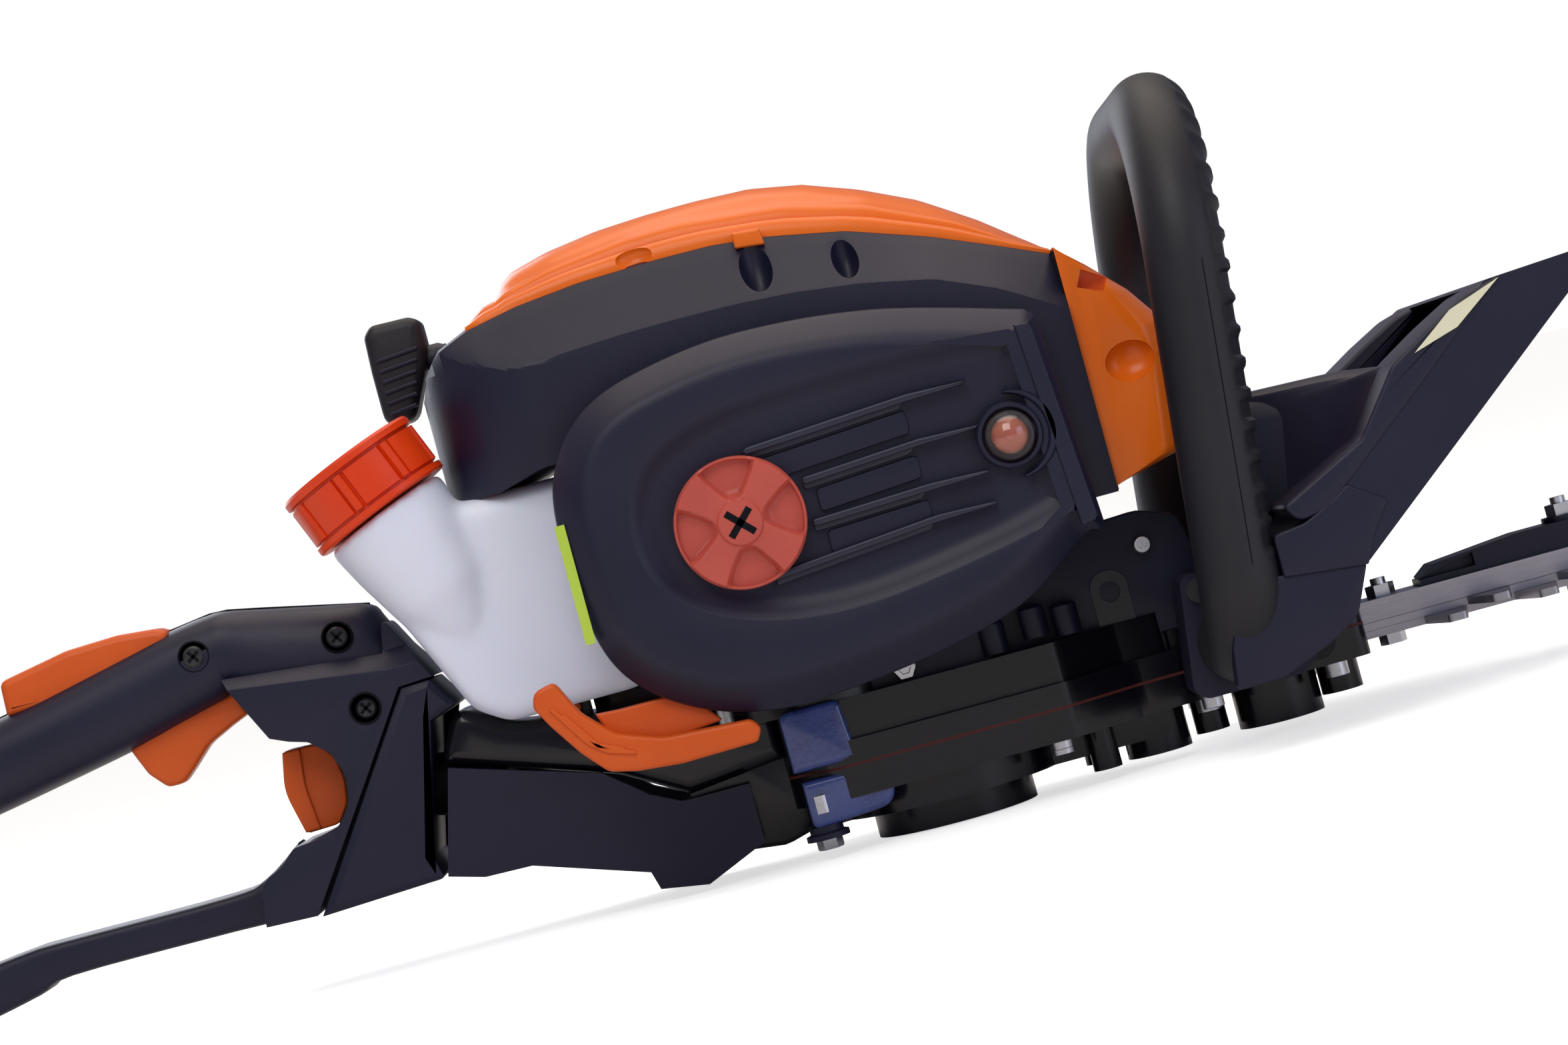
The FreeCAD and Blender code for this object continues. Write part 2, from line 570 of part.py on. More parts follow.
def blade_bolts():
    """The bolts that hold the blades to the bar and their nuts on top."""
    bolts, nuts = [], []
    for i, x in enumerate(bolt_places()):
        seat = 38.6 if i == 0 else 50.6
        bolts.append(bolt(f"blade_bolt_{i}", "5.2", "4.2", "blade_bolt_radius", f"{seat + 7 - 24.2}", str(x), "0", "20",
                          sides=6))
        nut = bind(doc.addObject("Part::Prism", f"nut_blank_{i}"), Circumradius="5.6", Height="4.5")
        place(nut, str(x), "0", str(seat))
        hole = cylinder(f"nut_hole_{i}", "blade_bolt_radius + 0.03", "8", str(x), "0", f"{seat - 1}")
        nuts.append(cut(f"blade_nut_{i}", nut, hole))
    piece("blade_bolts", group("blade_bolts", bolts + nuts))


# ---------------------------------------------------------------- engine
def engine():
    """Crankcase, cylinder, crank train, flywheel, ignition, muffler, intake and carburettor."""
    axis = "bore_axis_height"
    case = doc.addObject("PartDesign::Body", "crankcase")
    block_plan = [(-43.5, -36, 14), (28.5, -36, 8), (28.5, 36, 8), (-43.5, 36, 14)]
    pad(case, "crankcase_block", "XY_Plane", "(crankcase_bottom + crankcase_top) / 2",
        "crankcase_top - crankcase_bottom", [block_plan])
    pad(case, "crankcase_nose", "XY_Plane", "156", "9", [], [("crank_x", "0", "13")])
    pocket(case, "crank_room", "XY_Plane", axis, "36", [], [("crank_x", "0", "24")])
    pocket(case, "crank_bore", "XY_Plane", "120", "120", [], [("crank_x", "0", "7.05")])
    spigot_hole = cylinder("spigot_hole", "20.05", "40", "crank_x", "0", axis, X)
    choke_pin = cylinder("choke_pin", "3", "27.6", "-40", "-30", "50.4")
    piece("crankcase", fuse("crankcase", cut("crankcase_shell", case, spigot_hole), choke_pin))

    sleeve = cylinder("sleeve", "20", "77.2", "14.8", "0", axis, X)
    foot = block("cylinder_foot", "4", "62", "62", "28.6", "-31", f"{axis} - 31")
    fins = [block(f"fin_{i}", "2", "66", "66", f"{38 + 6 * i}", "-33", f"{axis} - 33") for i in range(9)]
    intake = cylinder("intake_port", "12", "35", "60", "-5", axis, Y * -1)
    exhaust = cylinder("exhaust_port", "12", "32", "61", "5", axis, Y)
    plug_seat = cylinder("plug_seat", "12", "6", "91", "0", axis, X)
    blank = fuse("cylinder_blank", sleeve, foot, *fins, intake, exhaust, plug_seat)
    bore = cylinder("bore", "bore_radius", "58", "14", "0", axis, X)
    ports = [cylinder("intake_bore", "7", "60", "60", "-3", axis, Y * -1),
             cylinder("exhaust_bore", "6.5", "60", "61", "3", axis, Y)]
    plug_hole = cylinder("plug_hole", "5.05", "40", "70", "0", axis, X)
    piece("cylinder", cut("cylinder", blank, bore, *ports, plug_hole))

    lower = [cylinder("crank_lower_shaft", "7", "33.5", "crank_x", "0", "64.5"),
             cylinder("crank_carrier", "10.6", "8", "crank_x", "0", "64.5"),
             cylinder("crank_lower_web", "21.5", "8", "crank_x", "0", "98"),
             cylinder("crank_lower_pin", "5", "4.4", "crank_x + 14", "0", "105.8")]
    half_cranks = [fuse("crank_lower", *lower)]
    upper = [cylinder("crank_upper_shaft", "7", "68", "crank_x", "0", "132"),
             cylinder("crank_upper_web", "21.5", "8", "crank_x", "0", "124"),
             cylinder("crank_upper_pin", "5", "4.4", "crank_x + 14", "0", "119.8")]
    half_cranks.append(fuse("crank_upper", *upper))
    piece("crankshaft", group("crankshaft", half_cranks))

    crown = cylinder("piston_crown", "bore_radius - 0.05", "26", "44.5", "0", axis, X)
    skirt = cylinder("piston_skirt", "14", "19", "44", "0", axis, X)
    pin_hole = cylinder("piston_pin_hole", "4.02", "40", "56.5", "0", f"{axis} - 20")
    piece("piston", cut("piston", crown, skirt, pin_hole))
    pin = cylinder("piston_pin", "4", "29", "56.5", "0", f"{axis} - 14.5")
    rod = doc.addObject("PartDesign::Body", "connecting_rod")
    pad(rod, "rod_beam", "XY_Plane", axis, "6", [[(10, -4), (52, -3.2), (52, 3.2), (10, 4)]])
    pad(rod, "rod_big_end", "XY_Plane", axis, "8", [], [("crank_x + 14", "0", "9")])
    pad(rod, "rod_small_end", "XY_Plane", axis, "8", [], [("56.5", "0", "6.6")])
    pocket(rod, "rod_eyes", "XY_Plane", axis, "12", [], [("crank_x + 14", "0", "5.3"), ("56.5", "0", "4.02")])
    piece("connecting_rod", group("connecting_rod", [rod, pin]))

    wheel = doc.addObject("PartDesign::Body", "flywheel")
    pad(wheel, "wheel_disc", "XY_Plane", "flywheel_bottom + 2.5", "5", [], [("0", "0", "flywheel_radius")])
    pad(wheel, "wheel_hub", "XY_Plane", "flywheel_bottom + 6", "22", [], [("0", "0", "12")])
    fin = pad(wheel, "wheel_fin", "XY_Plane", "flywheel_bottom + 4 + fan_height / 2 - 1", "fan_height",
              [[(28, -1.2), (51, 3), (51, 5.4), (28, 1.2)]])
    doc.recompute()
    fan = wheel.newObject("PartDesign::PolarPattern", "wheel_fan")
    fan.Originals = [fin]
    fan.Axis = (fin.Profile[0], ["N_Axis"])
    fan.Angle = 360
    fan.Occurrences = 16
    wheel.Tip = fan
    pocket(wheel, "wheel_bore", "XY_Plane", "180", "80", [], [("0", "0", "7.02")])
    bind(wheel, Placement__Base__x="crank_x")
    dogs = fuse("starter_dogs_blank", cylinder("dog_hub", "14", "4", "crank_x", "0", "195"),
                block("dog_bar", "40", "7", "5", "crank_x - 20", "-3.5", "196"))
    dogs = cut("starter_dogs", dogs, cylinder("dog_bore", "7.02", "20", "crank_x", "0", "190"))
    piece("flywheel", group("flywheel", [wheel, dogs]))

    coil = [block("coil_core", "12", "26", "14", "45.3", "-13", "168"), block("coil_block", "14", "22", "24", "52", "-11", "164"),
            block("coil_leg_1", "8", "5", "18", "50", "-13", "148.1"), block("coil_leg_2", "8", "5", "18", "50", "8", "148.1")]
    piece("ignition_coil", fuse("ignition_coil", *coil))
    plug = [cylinder("plug_thread", "5", "26", "72.5", "0", axis, X), cylinder("plug_hex", "9", "8", "97.1", "0", axis, X),
            cylinder("plug_insulator", "4.6", "14", "104", "0", axis, X)]
    piece("spark_plug", fuse("spark_plug", *plug))
    boot = fuse("boot_blank", cylinder("boot_body", "7.5", "14", "107", "0", axis, X),
                cylinder("boot_elbow", "4.8", "22", "116", "0", axis))
    boot = cut("plug_boot", boot, cylinder("boot_socket", "4.7", "12", "106.5", "0", axis, X))
    lead = Part.Wire([Part.LineSegment(V(116, 0, 137.05), V(116, 0, 150)).toShape(),
                      Part.Arc(V(116, 0, 150), V(107.5, 0, 169.2), V(92, 0, 176)).toShape(),
                      Part.LineSegment(V(92, 0, 176), V(66.1, 0, 176)).toShape()])
    profile = Part.Wire([Part.makeCircle(3, V(116, 0, 137.05), Z)])
    wire = solid("lead_wire", lead.makePipeShell([profile], True, False))
    piece("ignition_lead", group("ignition_lead", [boot, wire]))

    can = block("muffler_can", "68", "22", "50", "28", "37.3", "90")
    doc.recompute()
    rounded_can = doc.addObject("Part::Fillet", "muffler_round")
    rounded_can.Base = can
    rounded_can.Edges = [(i + 1, 5, 5) for i in range(12)]
    outlet = cylinder("muffler_outlet", "5", "14", "80", "50", "83", Z)
    piece("muffler", fuse("muffler", rounded_can, outlet))
    spacer = block("spacer_blank", "34", "6", "30", "43", "-46.1", f"{axis} - 15")
    spacer = cut("intake_spacer", spacer, cylinder("spacer_bore", "7", "10", "60", "-38", axis, Y * -1))
    carb = [block("carb_body", "34", "15", "28", "43", "-61.3", f"{axis} - 14"),
            cylinder("carb_pump", "11", "6", "60", "-54", f"{axis} - 19"),
            cylinder("carb_shaft", "3", "8", "52", "-54", f"{axis} + 13"),
            block("carb_lever", "16", "5", "2.5", "46", "-57", f"{axis} + 20")]
    carb_bore = cylinder("carb_bore", "7", "30", "60", "-40", axis, Y * -1)
    piece("carburettor", group("carburettor", [cut("carb_casting", fuse("carb_blank", *carb), carb_bore), spacer]))


# ---------------------------------------------------------------- starter
def starter():
    """Pulley, wound rope, straight rope with its grip, spring and the housing plate."""
    low = "pulley_bottom"
    wheel = cylinder("pulley_disc", "pulley_radius", "pulley_height", "crank_x", "0", low)
    groove = ring("pulley_groove", "pulley_radius + 3", "pulley_radius - 7", "6", "crank_x", "0", f"{low} + 3")
    drum = cut("pulley_drum", wheel, groove, cylinder("pulley_bore", "6.06", "40", "crank_x", "0", "200"))
    winding = ring("rope_winding", "pulley_radius - 3.6", "pulley_radius - 6.98", "5.6", "crank_x", "0", f"{low} + 3.2")
    piece("starter_pulley", group("starter_pulley", [drum, winding]))
    rope = cylinder("rope_run", "rope_radius", "98", "crank_x - 2", "pulley_radius - 1.2", f"{low} + 6", X * -1)
    piece("starter_rope", rope)
    grip = doc.addObject("PartDesign::Body", "starter_grip")
    stem = [(-138, 200, 5), (-126, 200, 5), (-118, 220, 3), (-115.5, 226, 2), (-115.5, 236, 4), (-136, 240, 5), (-138.5, 222, 4)]
    pad(grip, "grip_block", "XZ_Plane", "pulley_radius - 1.2", "22", [stem])
    pad(grip, "grip_neck", "XZ_Plane", "pulley_radius - 1.2", "9", [[(-118, 217.5), (-110, 219), (-110, 225), (-118, 226)]])
    pocket(grip, "grip_rope_hole", "YZ_Plane", "-111", "14", [], [("pulley_radius - 1.2", f"{low} + 6", "1.8")])
    piece("starter_grip", grip)

    turns, step, thick, inner = 5, 2.2, 0.7, 9.0
    points = [(inner + step * i / 24) for i in range(24 * turns + 1)]
    line = [V(r * math.cos(i * math.pi / 12), r * math.sin(i * math.pi / 12), 0) for i, r in enumerate(points)]
    back = [V((r + thick) * math.cos(i * math.pi / 12), (r + thick) * math.sin(i * math.pi / 12), 0) for i, r in enumerate(points)]
    face = Part.Face(Part.makePolygon(line + back[::-1] + line[:1]))
    spring = solid("recoil_spring", face.extrude(V(0, 0, 6)))
    place(spring, "crank_x", "0", f"{low} + pulley_height + 1")
    piece("recoil_spring", spring)

    plate = cylinder("starter_plate", "36", "3", "crank_x", "0", "236")
    post = cylinder("starter_post", "6", "25", "crank_x", "0", "212")
    stop = cylinder("starter_stop", "8.5", "2", "crank_x", "0", "213.4")
    rim = ring("starter_rim", "24.5", "22.5", "7", "crank_x", "0", "229.6")
    legs = [block(f"starter_leg_{i}", "8", "8", "8.3", f"crank_x + {x} - 4", f"{y} - 4", "238")
            for i, (x, y) in enumerate(((24, 22), (24, -22), (-24, 22), (-24, -22)))]
    piece("starter_housing", fuse("starter_housing", plate, post, stop, rim, *legs))


# ---------------------------------------------------------------- covers
SHROUD = [(-119, 167), (-117.5, 209), (-95, 225), (-50, 231.5), (0, 232), (50, 224), (121, 196), (121, 104),
          (107, 104), (100, 150), (84, 167)]
DOME = [(-95, 225.4), (-93, 229), (-83, 233.5), (-79, 240), (-60, 247), (-20, 251), (20, 250.5), (60, 239), (100, 216.5),
        (120.5, 199.5), (120.5, 196.6), (50, 224.4), (0, 232.4), (-50, 231.9)]
NOSE = [(121.3, 197), (132, 188), (145, 175), (156, 159), (156, 150), (150, 113), (121.3, 106)]


def hollow(label, outline, half, wall, bevel_test, bevel):
    """A shell of even wall about a side outline, its outer side edges bevelled."""
    outer = slab(label + "_outer", outline, "XZ_Plane", "0", f"2 * ({half})")
    inner = slab(label + "_inner", inset(outline, wall), "XZ_Plane", "0", f"2 * ({half} - {wall})")
    for body, reach in ((outer, size_of(half)), (inner, size_of(half) - wall)):
        ease(body, "Chamfer", str(bevel), lambda e, m, reach=reach: abs(abs(m.y) - reach) < 0.01 and bevel_test(m))
    return outer, inner


def size_of(text):
    """The number that a plain alias or a number stands for."""
    return size(text) if text in SIZES else float(text)


def engine_shroud():
    """The black housing round the flywheel and the top of the cylinder, open below and under the dome."""
    outer, inner = hollow("shroud", SHROUD, "shroud_half_width", 2.5, lambda m: m.z > 205, 16)
    plan = [(-119, -64, 50), (130, -64), (130, 64), (-119, 64, 50)]
    plan_in = [(-116.5, -61.5, 47.5), (118.5, -61.5), (118.5, 61.5), (-116.5, 61.5, 47.5)]
    trimmed = common("shroud_round", outer, slab("shroud_plan", plan, "XY_Plane", "160", "200"))
    room = common("shroud_room", inner, slab("shroud_plan_in", plan_in, "XY_Plane", "160", "200"))
    under = block("shroud_under", "220", "110", "30", "-101", "-55", "150")
    top = block("shroud_top", "150", "84", "60", "-84", "-42", "190")
    front = block("shroud_front", "45", "44", "80", "95", "-22", "96")
    rope = cylinder("shroud_rope_hole", "3.2", "60", "-80", "pulley_radius - 1.2", "pulley_bottom + 6", X * -1)
    return piece("engine_shroud", cut("engine_shroud", trimmed, room, under, top, front, rope))


def top_cover():
    """The orange dome over the starter."""
    outer = slab("dome_outer", DOME, "XZ_Plane", "0", "92")
    ease(outer, "Chamfer", "5", lambda e, m: abs(abs(m.y) - 46) < 0.01 and m.z > 238)
    room = [(-76, 236), (-58, 244.2), (-20, 248.2), (20, 247.8), (58, 236.6), (90, 219), (50, 227.5), (0, 235), (-50, 234.4),
            (-76, 233)]
    inner = slab("dome_inner", room, "XZ_Plane", "0", "82")
    floor = block("dome_floor", "122", "76", "17.5", "-70", "-38", "219")
    return piece("top_cover", cut("top_cover", outer, fuse("dome_room", inner, floor)))


def front_cover():
    """The orange nose over the spark plug, open towards the engine."""
    outer, inner = hollow("nose", NOSE, "60", 2.5, lambda m: m.x > 126, 5)
    door = block("nose_door", "12", "110", "60", "118", "-55", "114")
    recesses = [cylinder(f"nose_recess_{i}", "8", "3", "141", str(y), "149", way)
                for i, (y, way) in enumerate(((-60.1, Y), (60.1, Y * -1)))]
    return piece("front_cover", cut("front_cover", outer, fuse("nose_room", inner, door)))


COVER = [(-79, 150), (-72, 170, 12), (-50, 189, 30), (0, 196.5, 60), (50, 191, 50), (105, 177, 3), (112, 92, 3), (103, 92, 3),
         (75, 73, 12), (40, 65, 20), (0, 60, 30), (-30, 62, 20), (-62, 80, 20), (-76, 100, 12)]


def air_filter_side():
    """Base, foam, cover, knob, primer bulb and the plain label strip on the near side."""
    back, face = "cover_back", "cover_face"
    base = slab("filter_base", inset(COVER, 3.2), "XZ_Plane", f"{back} - 1.5", "3")
    pocket(base, "base_holes", "XZ_Plane", f"{back} - 1.5", "10", [], [("60", "115", "7"), ("primer_x", "primer_z", "7"),
                                                                       ("knob_x", "knob_z", "3.05")])
    core = [cylinder("primer_core", "4", "16", "primer_x", f"{back} - 19.2", "primer_z", Y),
            cylinder("primer_stem", "6.5", "6", "primer_x", f"{back} - 9", "primer_z", Y)]
    piece("filter_base", group("filter_base", [base, fuse("primer_valve", *core)]))
    element = slab("filter_element", [(-2, 82, 6), (80, 88, 6), (80, 116, 6), (66, 172, 6), (-2, 176, 6)], "XZ_Plane",
                   f"{back} - 9.5", "12")
    piece("filter_element", element)
    shell = slab("cover_blank", COVER, "XZ_Plane", f"({back} - 3.2 + {face} + 8) / 2", f"{back} - {face} - 11.2")
    for i, (step, depth) in enumerate(((2.5, 5), (6, 2.5), (10, 0))):
        pad(shell, f"cover_step_{i}", "XZ_Plane", f"({face} + {depth} - 80) / 2", f"-80 - ({face} + {depth})",
            [inset(COVER, step)])
    for i, (step, deep) in enumerate(((3, 21.5), (6.5, 24), (9.5, 26.5))):
        pocket(shell, f"cover_room_{i}", "XZ_Plane", f"{back} - {deep / 2}", str(deep), [inset(COVER, step)])
    pocket(shell, "cover_holes", "XZ_Plane", face, "40", [], [("primer_x", "primer_z", "primer_radius + 0.6"),
                                                              ("knob_x", "knob_z", "4")])
    pocket(shell, "knob_seat", "XZ_Plane", face, "8", [], [("knob_x", "knob_z", "knob_radius + 0.8")])
    piece("air_filter_cover", shell)
    knob = doc.addObject("PartDesign::Body", "filter_knob")
    pad(knob, "knob_rim", "XZ_Plane", f"{face} - 2", "10", [], [("knob_x", "knob_z", "knob_radius")])
    pocket(knob, "knob_dish", "XZ_Plane", f"{face} - 7", "8", [], [("knob_x", "knob_z", "knob_radius - 2")])
    kx, kz = size("knob_x"), size("knob_z")
    arms = [[(kx - 23, kz - 4), (kx + 23, kz - 4), (kx + 23, kz + 4), (kx - 23, kz + 4)],
            [(kx - 4, kz - 23), (kx + 4, kz - 23), (kx + 4, kz + 23), (kx - 4, kz + 23)]]
    for i, arm in enumerate(arms):
        pad(knob, f"knob_arm_{i}", "XZ_Plane", f"{face} - 6", "10", [arm])
    pad(knob, "knob_hub", "XZ_Plane", f"{face} - 6", "12", [], [("knob_x", "knob_z", "8.5")])
    pad(knob, "knob_stud", "XZ_Plane", f"({face} - 3 + {back} - 0.4) / 2", f"({back} - 0.4) - ({face} - 3)", [],
        [("knob_x", "knob_z", "3")])
    piece("filter_knob", knob)
    bulb = bind(doc.addObject("Part::Sphere", "bulb_dome"), Radius="primer_radius")
    place(bulb, "primer_x", f"{face} - 0.5", "primer_z")
    room = bind(doc.addObject("Part::Sphere", "bulb_room"), Radius="primer_radius - 1")
    place(room, "primer_x", f"{face} - 0.5", "primer_z")
    skirt = ring("bulb_skirt", "primer_radius", "primer_radius - 1", "6", "primer_x", f"{face} - 0.5", "primer_z", Y)
    half = block("bulb_back", "30", "30", "30", "primer_x - 15", f"{face} - 0.5", "primer_z - 15")
    piece("primer_bulb", fuse("primer_bulb", cut("bulb_half", cut("bulb_shell", bulb, room), half), skirt))
    piece("choke_lever", choke())


def choke():
    """The orange choke paddle that turns on a pivot below the filter base."""
    body = doc.addObject("PartDesign::Body", "choke_paddle")
    paddle = [(-100, 89, 3), (-93, 91, 3), (-84, 66, 10), (-60, 59, 20), (-28, 58, 3), (-30, 50, 3), (-62, 47, 10), (-84, 53, 8)]
    pad(body, "paddle_blade", "XZ_Plane", "-86", "10", [paddle])
    pad(body, "paddle_arm", "XY_Plane", "55", "3", [[(-64, -84), (-46, -32), (-34, -30), (-38, -84)]])
    pad(body, "paddle_eye", "XY_Plane", "55", "5", [], [("-40", "-30", "5.6")])
    pocket(body, "paddle_bore", "XY_Plane", "55", "30", [], [("-40", "-30", "3.06")])
    return body


# ---------------------------------------------------------------- fuel
TANK = [(-157.5, 157, 3), (-155, 145, 6), (-129, 88, 6), (-117, 80, 6), (-63, 80, 6), (-63, 164, 5), (-140, 164, 5)]


def fuel_system():
    """Tank with its tilted neck, cap, seal, lines and the filter inside."""
    halves = []
    for name, gap in (("tank_outer", 0), ("tank_inner", 2.4)):
        half = size("tank_half_width") - gap
        side = slab(name + "_side", inset(TANK, gap) if gap else TANK, "XZ_Plane", "0", f"2 * (tank_half_width - {gap})")
        plan = slab(name + "_plan", [(-159.6 + gap, -half, 18 - gap), (-63 - gap, -half, 10 - gap), (-63 - gap, half, 10 - gap),
                                     (-159.6 + gap, half, 18 - gap)], "XY_Plane", "120", "120")
        halves.append(common(name, side, plan))
    outer, inner = halves
    way = V(math.sin(math.radians(size("cap_tilt"))), 0, math.cos(math.radians(size("cap_tilt"))))
    foot = V(-142, size("cap_y"), 167.5)

    def on_axis(name, radius, start, length):
        low = foot + way * start
        return cylinder(name, radius, str(length), f"{low.x:.4f}", "cap_y", f"{low.z:.4f}", way)

    neck = on_axis("neck_wall", "20", -12, 30)
    bore = on_axis("neck_bore", "17", -20, 50)
    nipples = [cylinder(f"tank_nipple_{i}", "4", "8", str(x), "-20", "74") for i, x in enumerate((-105, -90))]
    holes = [cylinder(f"tank_line_hole_{i}", "2.5", "14", str(x), "-20", "72") for i, x in enumerate((-105, -90))]
    piece("fuel_tank", cut("fuel_tank", fuse("tank_blank", outer, neck, *nipples), inner, bore, *holes))
    cap = on_axis("cap_blank", "cap_radius", 0.3, 24)
    cap_room = on_axis("cap_room", "24", -1, 21)
    plug = on_axis("cap_plug", "16.4", 12, 11)
    grooves = []
    for i in range(8):
        angle = math.radians(45 * i + 22.5)
        side = FreeCAD.Rotation(Z, way).multVec(V(math.cos(angle), math.sin(angle), 0)) * (size("cap_radius") + 1.2)
        low = foot + side + way * 3
        grooves.append(cylinder(f"cap_groove_{i}", "3.4", "18", f"{low.x:.4f}", f"{low.y:.4f}", f"{low.z:.4f}", way))
    cap = fuse("cap_body", cut("cap_shell", cap, fuse("cap_cuts", cap_room, *grooves)), plug)
    seal = cut("cap_seal", on_axis("seal_disc", "19.8", 18.35, 1.6), on_axis("seal_hole", "16.45", 17, 5))
    piece("fuel_cap", group("fuel_cap", [cap, seal]))
    lines = []
    for i, (x, y2) in enumerate(((-105, -40), (-90, -30))):
        path = Part.Wire([Part.LineSegment(V(x, -20, 100), V(x, -20, 68)).toShape(),
                          Part.Arc(V(x, -20, 68), V(x + 6, -23, 60.5), V(x + 16, -28, 58)).toShape()])
        lines.append(solid(f"fuel_line_{i}", path.makePipeShell([Part.Wire([Part.makeCircle(2.4, V(x, -20, 100), Z)])],
                                                                True, False)))
    piece("fuel_lines", group("fuel_lines", [*lines, cylinder("fuel_filter", "6", "14", "-105", "-20", "100.1")]))


# ---------------------------------------------------------------- rear handle
GRIP = [(-398, 112, 16), (-305, 131, 40), (-236, 146, 12), (-213, 148, 8), (-200, 145, 10), (-157, 136, 5), (-140, 104, 2),
        (-154, 103.6), (-205, 28.5), (-306, 30, 20), (-314, 25, 10), (-330, 23, 20), (-402, 12, 14)]
LOOP = [(-366, 84, 14), (-315, 95, 20), (-262, 105, 10), (-219, 116, 4), (-209, 99, 5), (-190, 92, 16), (-182, 75, 18),
        (-190, 60, 12), (-209, 56, 6), (-216, 50, 6), (-232, 43, 8), (-305, 44, 30), (-330, 42, 20), (-366, 36, 12)]


def swivel_axis():
    """A point on the swivel axis and the axis direction, forward and down."""
    tilt = math.radians(size("swivel_tilt"))
    return V(size("swivel_x"), 0, size("swivel_z")), V(math.cos(tilt), 0, -math.sin(tilt))


def on_swivel(name, radius, start, length):
    """A cylinder about the swivel axis, measured from the bracket's face."""
    foot, way = swivel_axis()
    low = foot + way * start
    return cylinder(name, radius, str(length), f"{low.x:.4f}", "0", f"{low.z:.4f}", way)


def handle_half(label):
    """The near half of the loop handle, hollow in the grip and in the body behind the collar."""
    side = -1
    body = doc.addObject("PartDesign::Body", label)

    def layer(name, outline, near, far, holes=(), cutting=False, circles=()):
        make = pocket if cutting else pad
        return make(body, f"{label}_{name}", "XZ_Plane", f"{side} * ({near} + {far}) / 2", f"{far} - ({near})",
                    [outline, *holes] if outline else list(holes), circles)

    layer("loop", GRIP, "0.02", "handle_body_width / 2", [LOOP])
    layer("upper_skin", [(-430, -10), (-430, 170), (-130, 170), (-130, 95), (-148, 95), (-152, 112), (-159, 117.5),
                         (-219, 123.3), (-241, 112), (-241, -10)], "grip_width / 2", "60", cutting=True)
    layer("low_skin", [(-430, -10), (-430, 74), (-240, 74), (-240, -10)], "lower_bar_width / 2", "60", cutting=True)
    layer("grip_room", [(-370, 108, 8), (-305, 125, 30), (-238, 140, 8), (-206, 141.5, 6), (-164, 132.5, 4), (-160, 123),
                        (-216, 121), (-262, 109, 10), (-315, 99.5, 20), (-366, 88, 8)], "-5", "grip_width / 2 - handle_wall",
          cutting=True)
    layer("body_room", [(-206, 103), (-206, 116), (-166, 111), (-160, 106), (-165, 99), (-186, 99)], "-5",
          "handle_body_width / 2 - handle_wall", cutting=True)
    layer("trigger_slot", [(-266, 90), (-266, 112), (-216, 124), (-211, 121), (-211, 106)], "-5", "lever_width / 2 + 0.6",
          cutting=True)
    layer("lock_slot", [(-308, 121), (-308, 150), (-240, 160), (-228, 150), (-232, 132)], "-5", "lock_width / 2 + 0.6",
          cutting=True)
    layer("button_slot", [(-216, 54), (-216, 96), (-176, 96), (-170, 78), (-176, 54)], "-5", "9.6", cutting=True)
    for name, radius, near in (("bosses", "5", 0.1), ("boss_feet", "7.5", 10.9)):
        pad(body, f"{label}_{name}", "XZ_Plane", f"{side} * {(near + 15.9) / 2}", str(15.9 - near), [],
            [(str(x), str(z), radius) for x, z in SCREWS[:3]])
    screw_holes = [(str(x), str(z), "2.3") for x, z in SCREWS]
    pocket(body, f"{label}_screw_holes", "XZ_Plane", "0", "200", [], screw_holes)
    pocket(body, f"{label}_pins", "XZ_Plane", "0", "19", [], [(str(x), str(z), "lever_pin_radius + 0.02") for x, z in PINS])
    return body


def rear_handle():
    """The two halves of the rear handle; the far one mirrors the near one and has no screw recesses."""
    half = handle_half("handle_half")
    recesses = [cylinder(f"screw_recess_{i}", "5.7", "40", str(x), f"{-head_seat(x, z)}", str(z), Y * -1)
                for i, (x, z) in enumerate(SCREWS)]
    piece("rear_handle_right", cut("rear_handle_right", half, *recesses))
    left = doc.addObject("Part::Mirroring", "rear_handle_left")
    left.Source = half
    left.Normal = Y
    piece("rear_handle_left", left)


SCREWS = [(-352, 105), (-227.5, 131.5), (-173.5, 126), (-169, 99), (-213, 39)]
PINS = [(-222, 121.5), (-243, 134.5)]


def head_seat(x, z):
    """The distance from the middle plane at which a handle screw's head sits."""
    if x > -200 and z < 110:
        return 25.5
    return 9.5 if z < 60 else 13.5


def handle_screws():
    """Five screws that clamp the handle halves together."""
    screws = [bolt(f"handle_screw_{i}", "4", "2.5", "2", f"{head_seat(x, z) + 7 - 0.4:.2f}", str(x),
                   f"{-head_seat(x, z) - 2.6:.2f}", str(z), Y) for i, (x, z) in enumerate(SCREWS)]
    piece("handle_screws", group("handle_screws", screws))


